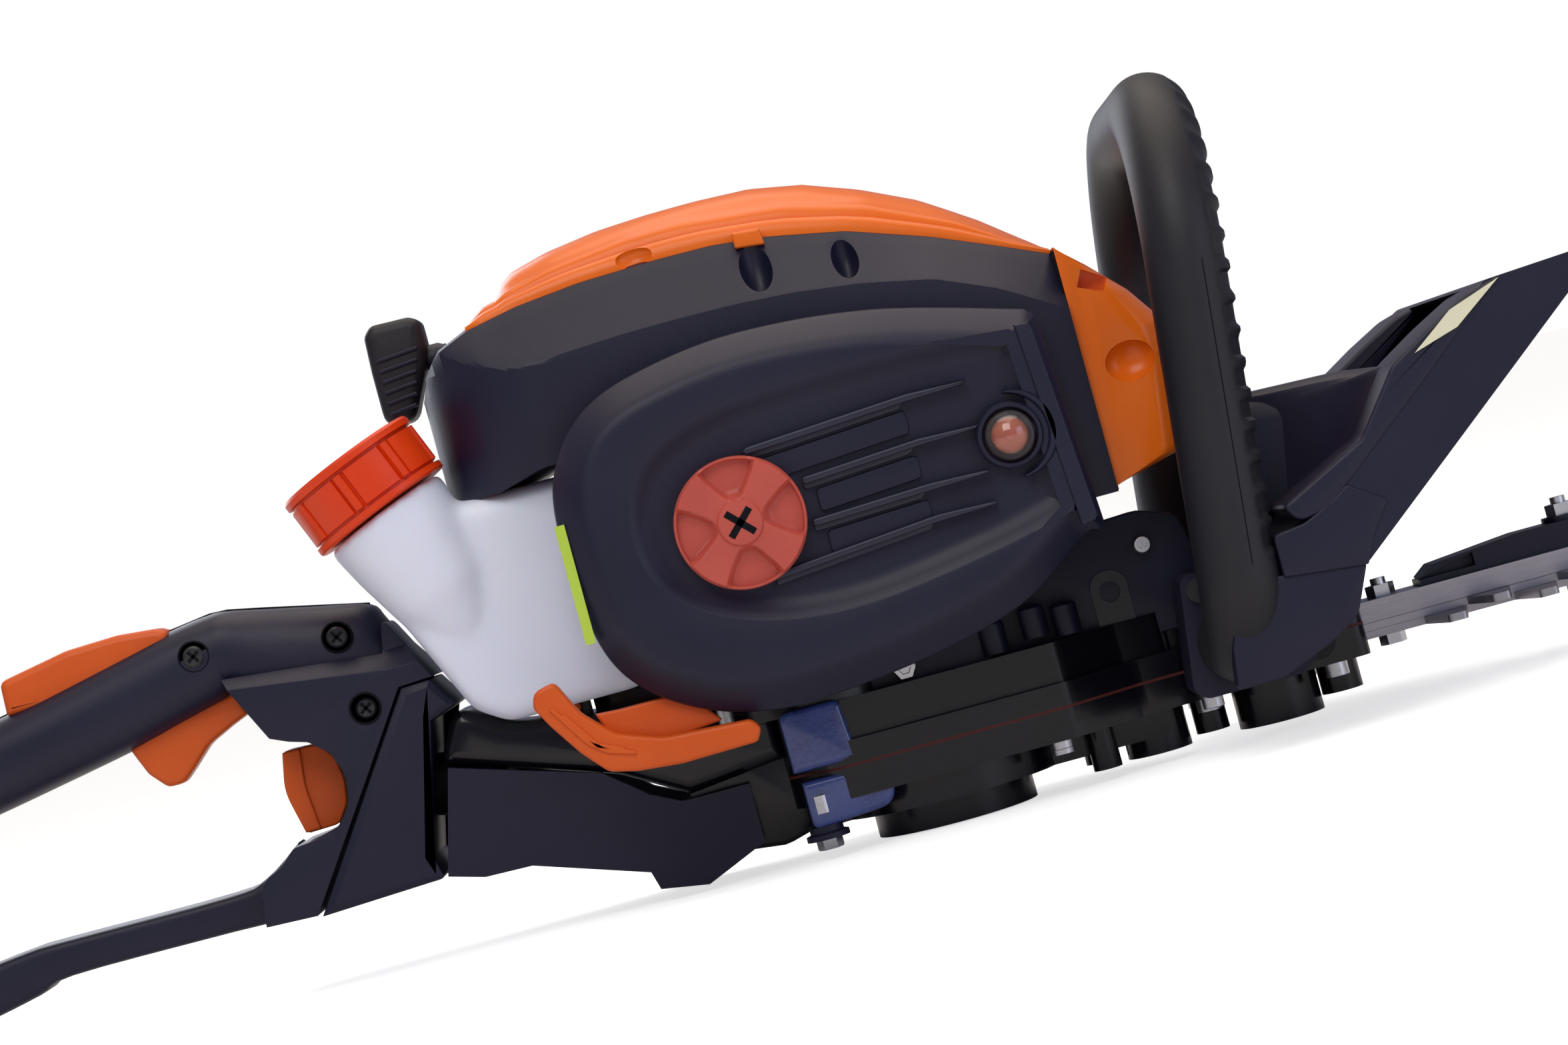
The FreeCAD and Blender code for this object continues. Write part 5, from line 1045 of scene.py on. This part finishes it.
# ---------------------------------------------------------------- rear handle
@dataclass
class RearHandle:
    """The loop handle with its levers, lock button, screws and collar."""

    SECTIONS: ClassVar[Plan] = [
        # outer x, outer z, inner x, inner z, half width
        (-397, 112, -364, 86, 14.5), (-352, 123.2, -345, 91, 16), (-305, 131.5, -310, 97, 17.5),
        (-262, 140.6, -262, 105.8, 17.8), (-236, 146.2, -241, 110.8, 17.9), (-220, 148.3, -222, 115.5, 18),
        (-213, 148, -219, 116.4, 18), (-200, 145.3, -212, 103.5, 18), (-178, 140.6, -207, 98.5, 18),
        (-160, 136.4, -199, 95, 18), (-155, 129, -192, 92.5, 18), (-146, 112, -187, 86, 18),
        (-142.2, 105, -184, 79, 18)]
    LOWER: ClassVar[Plan] = [(-205, 29, -209, 56.4, 14), (-230, 29.6, -224, 46.5, 14),
                             (-250, 30, -240, 43.6, 13.9), (-304, 30, -304, 43.8, 13.9),
                             (-318, 26, -318, 43.4, 13.9), (-345, 20.6, -345, 40.4, 14),
                             (-380, 15.6, -362, 38.4, 14), (-399.6, 14, -366, 46, 14),
                             (-399, 60, -366, 60, 14.3)]

    SCREWS: ClassVar[Plan] = [(-227.5, 134.5, -16.9), (-173.5, 127.5, -17.2), (-169, 99, -28.9),
                              (-213, 39, -13)]

    def build(self) -> None:
        """Builds the handle and everything on it."""
        self.loop()
        self.body()
        self.levers()
        self.screws()

    @staticmethod
    def section(row: tuple[float, ...], power: float, count: int = 28) -> Ring:
        """Gives a soft rectangular section between an outer and an inner point.

        Args:
            row: Outer x and z, inner x and z, and half the width.
            power: 2 for an ellipse, more for squarer corners.
            count: Points round the section.

        Returns:
            The ring of points.
        """
        ox, oz, ix, iz, half = row
        ring = []
        for k in range(count):
            a = 2 * math.pi * (k + 0.5) / count
            c, s = math.cos(a), math.sin(a)
            u = math.copysign(abs(c) ** (2 / power), c)
            v = math.copysign(abs(s) ** (2 / power), s)
            share = (1 - u) / 2
            ring.append(at(ox + (ix - ox) * share, half * v, oz + (iz - oz) * share))
        return ring

    @staticmethod
    def spline(rows: list[tuple[float, ...]], steps: int) -> list[tuple[float, ...]]:
        """Runs a smooth curve through the section rows.

        Args:
            rows: The rows in order.
            steps: Pieces between two rows.

        Returns:
            The dense rows.
        """
        out = []
        for i in range(len(rows) - 1):
            p = [rows[max(i - 1, 0)], rows[i], rows[i + 1], rows[min(i + 2, len(rows) - 1)]]
            out += between(p, steps)
        out.append(rows[-1])
        return out

    def loop(self) -> None:
        """Lofts the grip, the rear post and the lower bar as one soft loop."""
        part = Part("handle_loop", BLACK, "rear_handle", 34.0)
        grip = [self.section(r, 2.6) for r in self.spline([self.LOWER[-1], *self.SECTIONS], 4)]
        part.loft(grip)
        bar = [self.section(r, 7.0) for r in self.spline(self.LOWER, 4)]
        part.loft(bar)
        part.done("rear_handle_right", "rear_handle_left")
        seam = Part("handle_seam", SHADE_AND_SEAMS, "rear_handle")
        seam.pebble([(-399.9, 60), (-397.6, 112.6), (-352, 123.9), (-305, 132.1), (-262, 141.2),
                     (-236, 146.8), (-220, 148.9), (-213, 148.6), (-200, 145.9), (-160, 137), (-160, 136),
                     (-213, 147.6), (-236, 145.8), (-305, 131), (-352, 122.8), (-396, 111.8), (-398.6, 60)],
                    [(-0.35, 0), (0.35, 0)], raw=True).done()

    BODY: ClassVar[Plan] = [(-219.3, 123.4), (-206.6, 97.4), (-200, 94.5), (-193, 92.4, 4), (-185.8, 86, 6),
                            (-182.4, 76, 8), (-184.5, 65.5, 8), (-191, 58.5, 5), (-200, 56.4),
                            (-208.6, 55.6, 3), (-214.5, 50.2, 4), (-224, 45.8, 8), (-226, 29.6),
                            (-206.2, 28.8), (-155, 103.4), (-141.8, 104), (-156, 131, 2), (-158.6, 117.2)]

    def body(self) -> None:
        """Builds the broad body with its ledge and the collar in front of it."""
        part = Part("handle_body", BLACK, "rear_handle", 24.0)
        part.pebble(self.BODY, [(-30, 0), (30, 0)], raw=True)
        wedge = Part("ledge_cut", SHADE_AND_SEAMS, "rear_handle")
        rows = []
        for y0 in (-31.0, -18.0):
            rise = 7.5 if y0 < -30 else 0.0
            rows.append([at(-224, y0, 127 - rise), at(-158, y0, 118 - rise), at(-130, y0, 118 - rise),
                         at(-130, y0, 150), at(-224, y0, 150)])
        wedge.loft(rows)
        other = Part("ledge_cut_far", SHADE_AND_SEAMS, "rear_handle")
        other.loft([[Vector((p.x, -p.y, p.z)) for p in ring] for ring in rows])
        button = drill("button_room", 11.2, -196.5, 75, -9.4, 9.4)
        x, z, y = self.SCREWS[2]
        part.done(bevel=0.7, cutters=[wedge.tool(), other.tool(), button,
                                      drill("recess_2", 5.7, x, z, -40, y + 4.4)])
        collar = Part("collar_block", BLACK, "rear_handle", 24.0)
        outline = [(-154.2, 102.9), (-143.2, 103.3, 1), (-135.9, 91.8, 1), (-146.4, 88.0), (-158.8, 39.2),
                   (-156.4, 30, 2), (-204.8, 28)]
        collar.pebble(outline, both_ways([(-31.4, 3), (-30.2, 0.4), (-29, 0)]), raw=True)
        collar.done("handle_collar", bevel=0.6)

    def levers(self) -> None:
        """Builds the trigger, the throttle lock and the swivel lock button."""
        trigger = Part("trigger_lever", CONTROL, "trigger", 40.0)
        trigger.soft([(-262, 107, 2), (-257.5, 96, 6), (-251.5, 89.2, 4), (-245, 89.2, 5), (-239.5, 94, 7),
                      (-232, 101, 14), (-222, 105.6, 8), (-214.4, 108.6, 2), (-217, 118, 2), (-250, 113, 2)],
                     -6.5, 6.5, 2.4, 90)
        trigger.done("throttle_trigger")
        lock = Part("lock_lever", CONTROL, "throttle_lockout", 40.0)
        lock.soft([(-303, 131, 1), (-302.5, 144.4, 3), (-275, 149.4, 14), (-255, 150, 14), (-240, 148.6, 4),
                   (-235.6, 146.2, 1), (-238, 134, 2), (-270, 130, 2)], -10, 10, 3.0, 90)
        lock.done("throttle_lock")
        button = Part("lock_button", CONTROL, "swivel_lock", 40.0)
        button.soft([(-205.4, 91, 1), (-208.4, 76, 24), (-204.4, 58.6, 1), (-192, 59, 4), (-187, 66, 8),
                     (-185.6, 75, 10), (-187, 84, 8), (-192, 90.4, 4)], -9, 9, 0.9, 80)
        button.done("swivel_lock_button")
        rim = Part("lock_button_step", CONTROL, "swivel_lock")
        rim.soft([(-205.9, 90.6), (-208.9, 76, 24), (-205, 59), (-199, 59), (-200.6, 76, 24), (-199, 90.6)],
                 -10.6, 9.4, 0.9, 60)
        rim.done()

    def screws(self) -> None:
        """Builds the sunk cross-head screws in their round wells, with the wells and the cross slots in
        painted shade.
        """
        # Painted shade: the wells' rims and floors and the screws' cross slots are near-black to stand in for
        # their shade.
        wells = Part("screw_wells_shade", SHADE_AND_SEAMS, "rear_handle")
        heads = Part("screw_heads", SCREW, "rear_handle")
        slots = Part("screw_slots_shade", SHADE_AND_SEAMS, "rear_handle")
        for x, z, y in self.SCREWS:
            lip = -30.0 if y < -25 else y - 0.55
            wells.turned([(5.4, 0.5), (5.7, 0.62), (6.1, 0.3), (6.1, -1), (5.4, -1)], at(x, lip, z), NEAR, 40,
                         hollow=True)
            wells.turned([(5.5, 0.2), (0.01, 0.2)], at(x, y + 3.6 if y < -25 else lip, z), NEAR, 40)
            foot = at(x, y + 3.4 if y < -25 else lip, z)
            heads.turned([(4, 0), (4, 0.9), (3.2, 1.6), (0.01, 1.9)], foot, NEAR, 36)
            base = (y + 3.4 if y < -25 else lip) - 1.0
            slots.cross(x, z, 35, (2.7, 0.6), (base - 1.02, base))
        wells.done()
        heads.done("handle_screws")
        slots.done()


# ---------------------------------------------------------------- front handle and starter grip
@dataclass
class FrontHandle:
    """The bent front handle with its grip notches."""

    half: float = 100.0
    low: float = 40.0
    high: float = 236.0
    bend: float = 58.0
    knee: float = 26.0
    lean: float = 5.8
    radius: float = 15.0
    pitch: float = 11.5
    notch_depth: float = 1.3
    notch_from: float = 68.0
    seam_from: float = 66.0
    seam_radius: float = 0.22

    def spot(self, y: float, z: float) -> Vector:
        """Gives the point of the handle's leaning plane at a place across and up."""
        return at(149 + (z - self.low) * math.tan(math.radians(self.lean)), y, z)

    def path(self) -> Ring:
        """Gives the centre line as closely spaced points."""
        corners = [(-62, self.low, 0), (-self.half, self.low, self.knee), (-self.half, self.high, self.bend),
                   (self.half, self.high, self.bend), (self.half, self.low, self.knee), (62, self.low, 0)]
        flat: list[Vector] = []
        for i, (y, z, r) in enumerate(corners):
            here = Vector((y, z))
            if r == 0:
                flat.append(here)
                continue
            before = (Vector(corners[i - 1][:2]) - here).normalized()
            after = (Vector(corners[i + 1][:2]) - here).normalized()
            centre = here + (before + after) * r
            for k in range(25):
                a = math.pi / 2 * k / 24
                flat.append(centre - after * r * math.cos(a) - before * r * math.sin(a))
        out: Ring = []
        for a, b in zip(flat, flat[1:]):
            steps = max(int((b - a).length / 1.4), 1)
            out += [self.spot(*(a.lerp(b, k / steps))) for k in range(steps)]
        return out + [self.spot(*flat[-1])]

    def build(self) -> None:
        """Sweeps the tube with notches along the front of both legs."""
        line = self.path()
        travel = [0.0]
        for a, b in zip(line, line[1:]):
            travel.append(travel[-1] + (b - a).length / MM)

        def dent(i: int, out: Vector) -> float:
            """Gives a notch's depth on the front side, every pitch along the tube."""
            z = line[i].z / MM
            if z < self.notch_from:
                return 0.0
            phase = (travel[i] % self.pitch) / self.pitch
            edge = min(max((0.36 - abs(phase - 0.5)) / 0.06, 0), 1)
            front = min(max((out.x - 0.62) / 0.1, 0), 1)
            return self.notch_depth * edge * front

        part = Part("handle_tube", BLACK_SOFT, "machine", 40.0)
        part.tube(line, self.radius, 48, dent).done("front_handle")
        seam = Part("handle_tube_seam", SHADE_AND_SEAMS, "machine")
        for side in (-1, 1):
            legs = [p for p in line if p.y * side > 0 and self.seam_from < p.z / MM < self.high - self.bend]
            seam.tube([p + Vector((0.004, side * 0.01443, 0)) for p in legs], self.seam_radius, 8)
        seam.done()


@dataclass
class StarterGrip:
    """The T-shaped pull grip behind the tank cap."""

    y: float = 25.8

    def build(self) -> None:
        """Builds the ribbed stem, the top block and the neck."""
        part = Part("pull_grip_block", BLACK_SOFT, "pull_grip", 40.0)
        part.soft([(-138, 200, 6), (-126, 200, 6), (-117, 219, 6), (-114.8, 226, 4), (-114.8, 237, 5),
                   (-119, 239.2, 4), (-134, 239.6, 4), (-137.4, 236, 4), (-138, 222, 4)], self.y - 11,
                  self.y + 11, 4.0, 90)
        part.done("starter_grip")
        ribs = Part("pull_grip_ribs", BLACK, "pull_grip")
        for k in range(6):
            z = 203.5 + 4.2 * k
            ribs.soft([(-135, z), (-124 + 1.2 * k, z + 1.4), (-124 + 1.2 * k, z + 3), (-135, z + 1.8)],
                      self.y - 11.7, self.y - 9, 0.5, 30)
        ribs.done()
        neck = Part("pull_grip_neck", BLACK, "pull_grip")
        neck.turned([(4.6, 0), (5.4, 1), (5.4, 6), (4.4, 8), (4.4, 9)], at(-117, self.y, 221.8), AHEAD,
                    32).done()


@dataclass
class Guard:
    """The cowl over the engine's front, the plain stickers and the dark parts under the covers."""

    GUSSETS: ClassVar[list[tuple]] = [
        ([(222, 122), (226, 124.6, 4), (239.6, 132.6, 12), (254, 140, 12), (269.7, 144.3, 1),
          (248, 127, 4), (235, 116), (188, 79), (176, 77, 8), (172, 84), (205, 100)], 62, 108.8, 1.6, 120),
        ([(189.5, 81.5, 6), (178, 76.5, 6), (166, 74.8, 2), (166, 59.6), (196.3, 56.3, 1), (201, 66, 4),
          (209, 77), (196, 86)], 98, 108.6, 0.8, 90),
        ([(150, 61.6), (168, 60.4), (196, 57.2, 1), (188.3, 40, 8), (176.5, 33, 6), (157, 25.3, 4),
          (140, 25, 2), (142, 40)], 96, 107.4, 0.8, 90)]

    def build(self) -> None:
        """Builds the cowl, the stickers and the small parts round the gear case."""
        cowl = Part("guard_cowl_shell", BLACK, "machine", 40.0)
        line = [(160, 69), (160, 127.3, 4), (212, 125.4, 12), (238, 121.5, 4), (230, 104, 10), (214, 80),
                (198, 65)]
        stations = [(-58, 12), (-57.4, 8.6), (-55.6, 5.2), (-52.6, 2.4), (-48.6, 0.6), (-44, 0)]
        cowl.pebble(line, both_ways(stations), 110)
        whole = resample(rounded(line), 110, (200, 95))
        band = resample(rounded([(184, 62, 1), (231, 124, 1), (240, 121.5, 1), (196, 62, 1)]), 110, (213, 95))
        for side in (-1, 1):
            rings = []
            for k in range(13):
                t = k / 12
                rings.append([at(x, side * (50 + 56 * t), z) for x, z in
                              blend_lines(inset(whole, 1.5), band, 1 - (1 - t) ** 3)])
            cowl.loft(rings)
        cowl.done("guard_cowl")
        rear = Part("cover_sticker", LABEL, "machine")
        rear.loft([[at(-80.2, -87.2, z), at(-76.4, -90.2, z), at(-76.4, -89.8, z), at(-80.2, -86.8, z)]
                   for z in (101, 145)]).done("labels")
        front = Part("guard_sticker", LABEL, "machine")
        front.pebble([(231.4, 124.4), (248.4, 129.4), (267, 142.6), (247.4, 136)], [(-109.3, 0), (-108.6, 0)],
                     raw=True).done()
        side = Part("guard_gusset", BLACK, "machine", 40.0)
        for way in (-1, 1):
            for outline, inner, outer, edge, count in self.GUSSETS:
                low, high = sorted((way * inner, way * outer))
                side.soft(outline, low, high, edge, count)
        side.done()
        self.fittings()

    @staticmethod
    def fittings() -> None:
        """Adds the switch plate, the rough cast pads of the gear case coloured in a painted blue reflection,
        and small bosses.
        """
        plate = Part("switch_plate", BLACK, "machine")
        plate.soft([(58, 48), (58, 84, 4), (84, 92, 6), (104, 94, 4), (128, 95, 6), (143, 90, 8),
                    (147, 70, 4), (147, 48)],
                   -22, -17, 0.8, 80)
        plate.soft([(8, 50), (8, 80, 6), (30, 82, 6), (62, 78, 4), (62, 50)], -30, -22, 0.8, 60)
        for x, z in ((64, 66), (80, 68), (92, 66)):
            plate.turned([(5, 0), (5, 11), (4, 12), (0.01, 12)], at(x, -30, z - 9), UP, 32)
        plate.done()
        arm = Part("rear_arm", CASE, "machine", 40.0)
        arm.soft([(-146, 75), (-137, 91, 6), (-118, 79, 14), (-84, 74, 14), (-58, 66, 10), (-22, 60, 4),
                  (-22, 40), (-60, 36), (-84, 50), (-146, 71)], -29, 29, 5.0, 100)
        arm.soft([(-62, 12), (-62, 62), (-15, 62), (-15, 12), (-30, 8)], -24, 24, 2.0, 60)
        arm.soft([(-88, 50), (-88, 85), (-61, 85), (-61, 98), (-8, 98), (-8, 50)], 6, 12, 1.0, 60)
        arm.done()
        # Painted reflection: the cast pads are blue to stand in for the blue light their glossy paint
        # reflects.
        rough = Part("casting_pads_painted_reflection", CASE_REFLECTION, "machine", 40.0)
        rough.soft([(-21, 34), (-21, 57, 3), (2, 57, 3), (4, 34)], -46, -30, 2.0, 60)
        rough.soft([(-19, 12, 3), (-19, 30), (14, 30), (14, 14, 8)], -45, -30, 2.0, 60)
        rough.done()
        nuts = Part("case_nuts", ZINC, "machine")
        for x, y, z, r in ((29, -33, 61, 5.0), (127, -24, 82, 3.4)):
            nuts.turned([(r, 0), (r, 3), (r * 0.86, 3.8), (r * 0.5, 3.8), (r * 0.45, 2.6), (0.01, 2.6)],
                        at(x, y, z), NEAR, 6 if r > 4 else 24)
        for x in (-14, 78, 136):
            nuts.turned([(3.6, 0), (4.1, 0.4), (4.1, 7), (3.7, 7.6), (0.01, 7.6)], at(x, -41.5, 17), UP, 28)
        nuts.turned([(4.6, 0), (5, 0.6), (5, 4.4), (0.01, 4.4)], at(-14.5, -38, 3.6), UP, 6)
        nuts.done()
        collar = Part("case_washers", BLACK, "machine")
        collar.turned([(0.01, 0), (8.2, 0), (8.2, 2), (6.4, 2.6), (6.4, 5), (0.01, 5)], at(-14.5, -38, 7.6),
                      UP, 32)
        collar.done()


# ---------------------------------------------------------------- what the frame carries over
@dataclass
class CarriedOver:
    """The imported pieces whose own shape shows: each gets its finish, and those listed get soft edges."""

    crisp_above: float = 30.0
    bevel_above: float = 38.0

    EDGES: ClassVar[dict[str, float]] = {"hand_guard": 1.6, "guard_cowl": 3.0, "handle_bracket": 2.4,
                                         "handle_feet": 2.0, "gearbox_upper": 0.8, "gearbox_lower": 0.8,
                                         "debris_deflector": 0.5, "guide_bar": 0.5, "starter_housing": 0.5,
                                         "crankcase": 0.8, "muffler": 0.5, "carburettor": 0.5, "labels": 0.2}

    # The swivel spigot is drawn in the near-black painted shade.
    SPECIAL: ClassVar[dict[str, Finish]] = {"foot_screws": SCREW, "swivel_spigot": SHADE_AND_SEAMS}

    def build(self, frame: dict) -> None:
        """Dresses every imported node.
        """
        slots = {s["node"]: s["material_slot"] for s in frame["record"]["subparts"]}
        for name, node in frame["nodes"].items():
            finish = self.SPECIAL.get(name, BY_SLOT[slots[name]])
            node.data.materials.clear()
            node.data.materials.append(finish.material())
            mark_edges(node.data, self.crisp_above)
            if name in self.EDGES and not node.hide_render:
                soften(node, self.EDGES[name], self.bevel_above)
            LOG.info("%s: %s", name, finish.name)


# ---------------------------------------------------------------- studio
@dataclass
class Studio:
    """The pale floor, the soft lights and the camera."""

    distance: float = 1.6
    lens: float = 96.6
    roll: float = 15.2
    floor_drop: float = 0.0005
    floor_half: float = 30.0
    floor_glow: float = 0.66
    sky_strength: float = 0.5
    view_depth: float = 60.0
    aim_height: float = 0.125

    def build(self) -> None:
        """Builds the floor, the sky, the lights and the camera."""
        self.floor()
        self.sky()
        for name, place, size, power, tone in (
                ("key", (-0.5, -1.9, 1.9), 1.5, 24, (1, 0.98, 0.95)),
                ("fill", (1.6, -1.6, 0.5), 1.2, 8, (0.7, 0.78, 1)),
                ("top", (0.1, 0.3, 2.1), 2.0, 24, (1, 0.88, 0.78)),
                ("back", (-1.2, 1.8, 0.9), 1.4, 16, (0.9, 0.93, 1))):
            self.light(name, Vector(place), size, power, tone)
        self.camera()

    def floor(self) -> None:
        """Lays the pale floor just under the machine."""
        data = bpy.data.meshes.new("floor")
        r, z = self.floor_half, -self.floor_drop
        data.from_pydata([(-r, -r, z), (r, -r, z), (r, r, z), (-r, r, z)], [], [(0, 1, 2, 3)])
        made = linked("floor", data)
        finish = Finish("floor_paint", "none", (0.80, 0.80, 0.80), (0.82, 0.82, 0.82), 0.9, 0.02, Grain.NONE,
                        specular=0.0)
        material = finish.material()
        shader = material.node_tree.nodes["Principled BSDF"]
        shader.inputs["Emission Color"].default_value = (1, 1, 1, 1)
        ray = material.node_tree.nodes.new("ShaderNodeLightPath")
        gain = material.node_tree.nodes.new("ShaderNodeMath")
        gain.operation = "MULTIPLY"
        gain.inputs[1].default_value = self.floor_glow
        material.node_tree.links.new(ray.outputs["Is Camera Ray"], gain.inputs[0])
        material.node_tree.links.new(gain.outputs[0], shader.inputs["Emission Strength"])
        data.materials.append(material)

    def sky(self) -> None:
        """Makes a white backdrop whose light is warm from above and cool from the side."""
        world = bpy.data.worlds.new("studio_sky")
        bpy.context.scene.world = world
        world.use_nodes = True
        nodes, links = world.node_tree.nodes, world.node_tree.links
        nodes.clear()
        place = nodes.new("ShaderNodeTexCoord")
        split = nodes.new("ShaderNodeSeparateXYZ")
        links.new(place.outputs["Generated"], split.inputs[0])
        ramp = nodes.new("ShaderNodeValToRGB")
        ramp.color_ramp.elements[0].position = 0.0
        ramp.color_ramp.elements[0].color = (0.20, 0.25, 0.50, 1)
        ramp.color_ramp.elements[1].position = 0.75
        ramp.color_ramp.elements[1].color = (0.92, 0.84, 0.74, 1)
        links.new(split.outputs["Z"], ramp.inputs["Fac"])
        light = nodes.new("ShaderNodeBackground")
        light.inputs["Strength"].default_value = self.sky_strength
        links.new(ramp.outputs["Color"], light.inputs["Color"])
        white = nodes.new("ShaderNodeBackground")
        white.inputs["Color"].default_value = (1, 1, 1, 1)
        white.inputs["Strength"].default_value = 1.0
        ray = nodes.new("ShaderNodeLightPath")
        mix = nodes.new("ShaderNodeMixShader")
        links.new(ray.outputs["Is Camera Ray"], mix.inputs[0])
        links.new(light.outputs[0], mix.inputs[1])
        links.new(white.outputs[0], mix.inputs[2])
        out = nodes.new("ShaderNodeOutputWorld")
        links.new(mix.outputs[0], out.inputs["Surface"])

    @staticmethod
    def light(name: str, place: Vector, size: float, power: float, tone: Colour) -> None:
        """Hangs one soft square light that faces the machine.

        Args:
            name: The light's name.
            place: Where it hangs, in metres.
            size: Its side in metres.
            power: Its power in watts.
            tone: Its colour.
        """
        data = bpy.data.lights.new(name, "AREA")
        data.shape = "SQUARE"
        data.size = size
        data.energy = power
        data.color = tone
        made = linked(name, data)
        made.location = place
        made.rotation_euler = (Vector((-0.1, 0, 0.12)) - place).to_track_quat("-Z", "Y").to_euler()

    def camera(self) -> None:
        """Sets the camera level with the machine's side, rolled so that the nose rises."""
        data = bpy.data.cameras.new("camera")
        data.lens = self.lens
        data.sensor_width = 36.0
        data.clip_end = self.view_depth
        made = linked("camera", data)
        a = math.radians(self.roll)
        right, up, back = Vector((math.cos(a), 0, -math.sin(a))), Vector((math.sin(a), 0, math.cos(a))), NEAR
        turn = Matrix((right, up, back)).transposed().to_4x4()
        made.matrix_world = Matrix.Translation(Vector((SHIFT * MM, -self.distance, self.aim_height))) @ turn
        bpy.context.scene.camera = made
        bpy.context.scene.view_settings.view_transform = "Standard"
        bpy.context.scene.view_settings.look = "None"


def main() -> None:
    """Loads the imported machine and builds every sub-assembly round it."""
    logging.basicConfig(level=logging.INFO, format="%(name)s %(message)s")
    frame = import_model()
    for assembly in (EngineCovers(), FilterSide(), FuelTank(), RearHandle(), FrontHandle(), StarterGrip(),
                     Guard()):
        assembly.build()
    CarriedOver().build(frame)
    Studio().build()


if __name__ == "__main__":
    main()
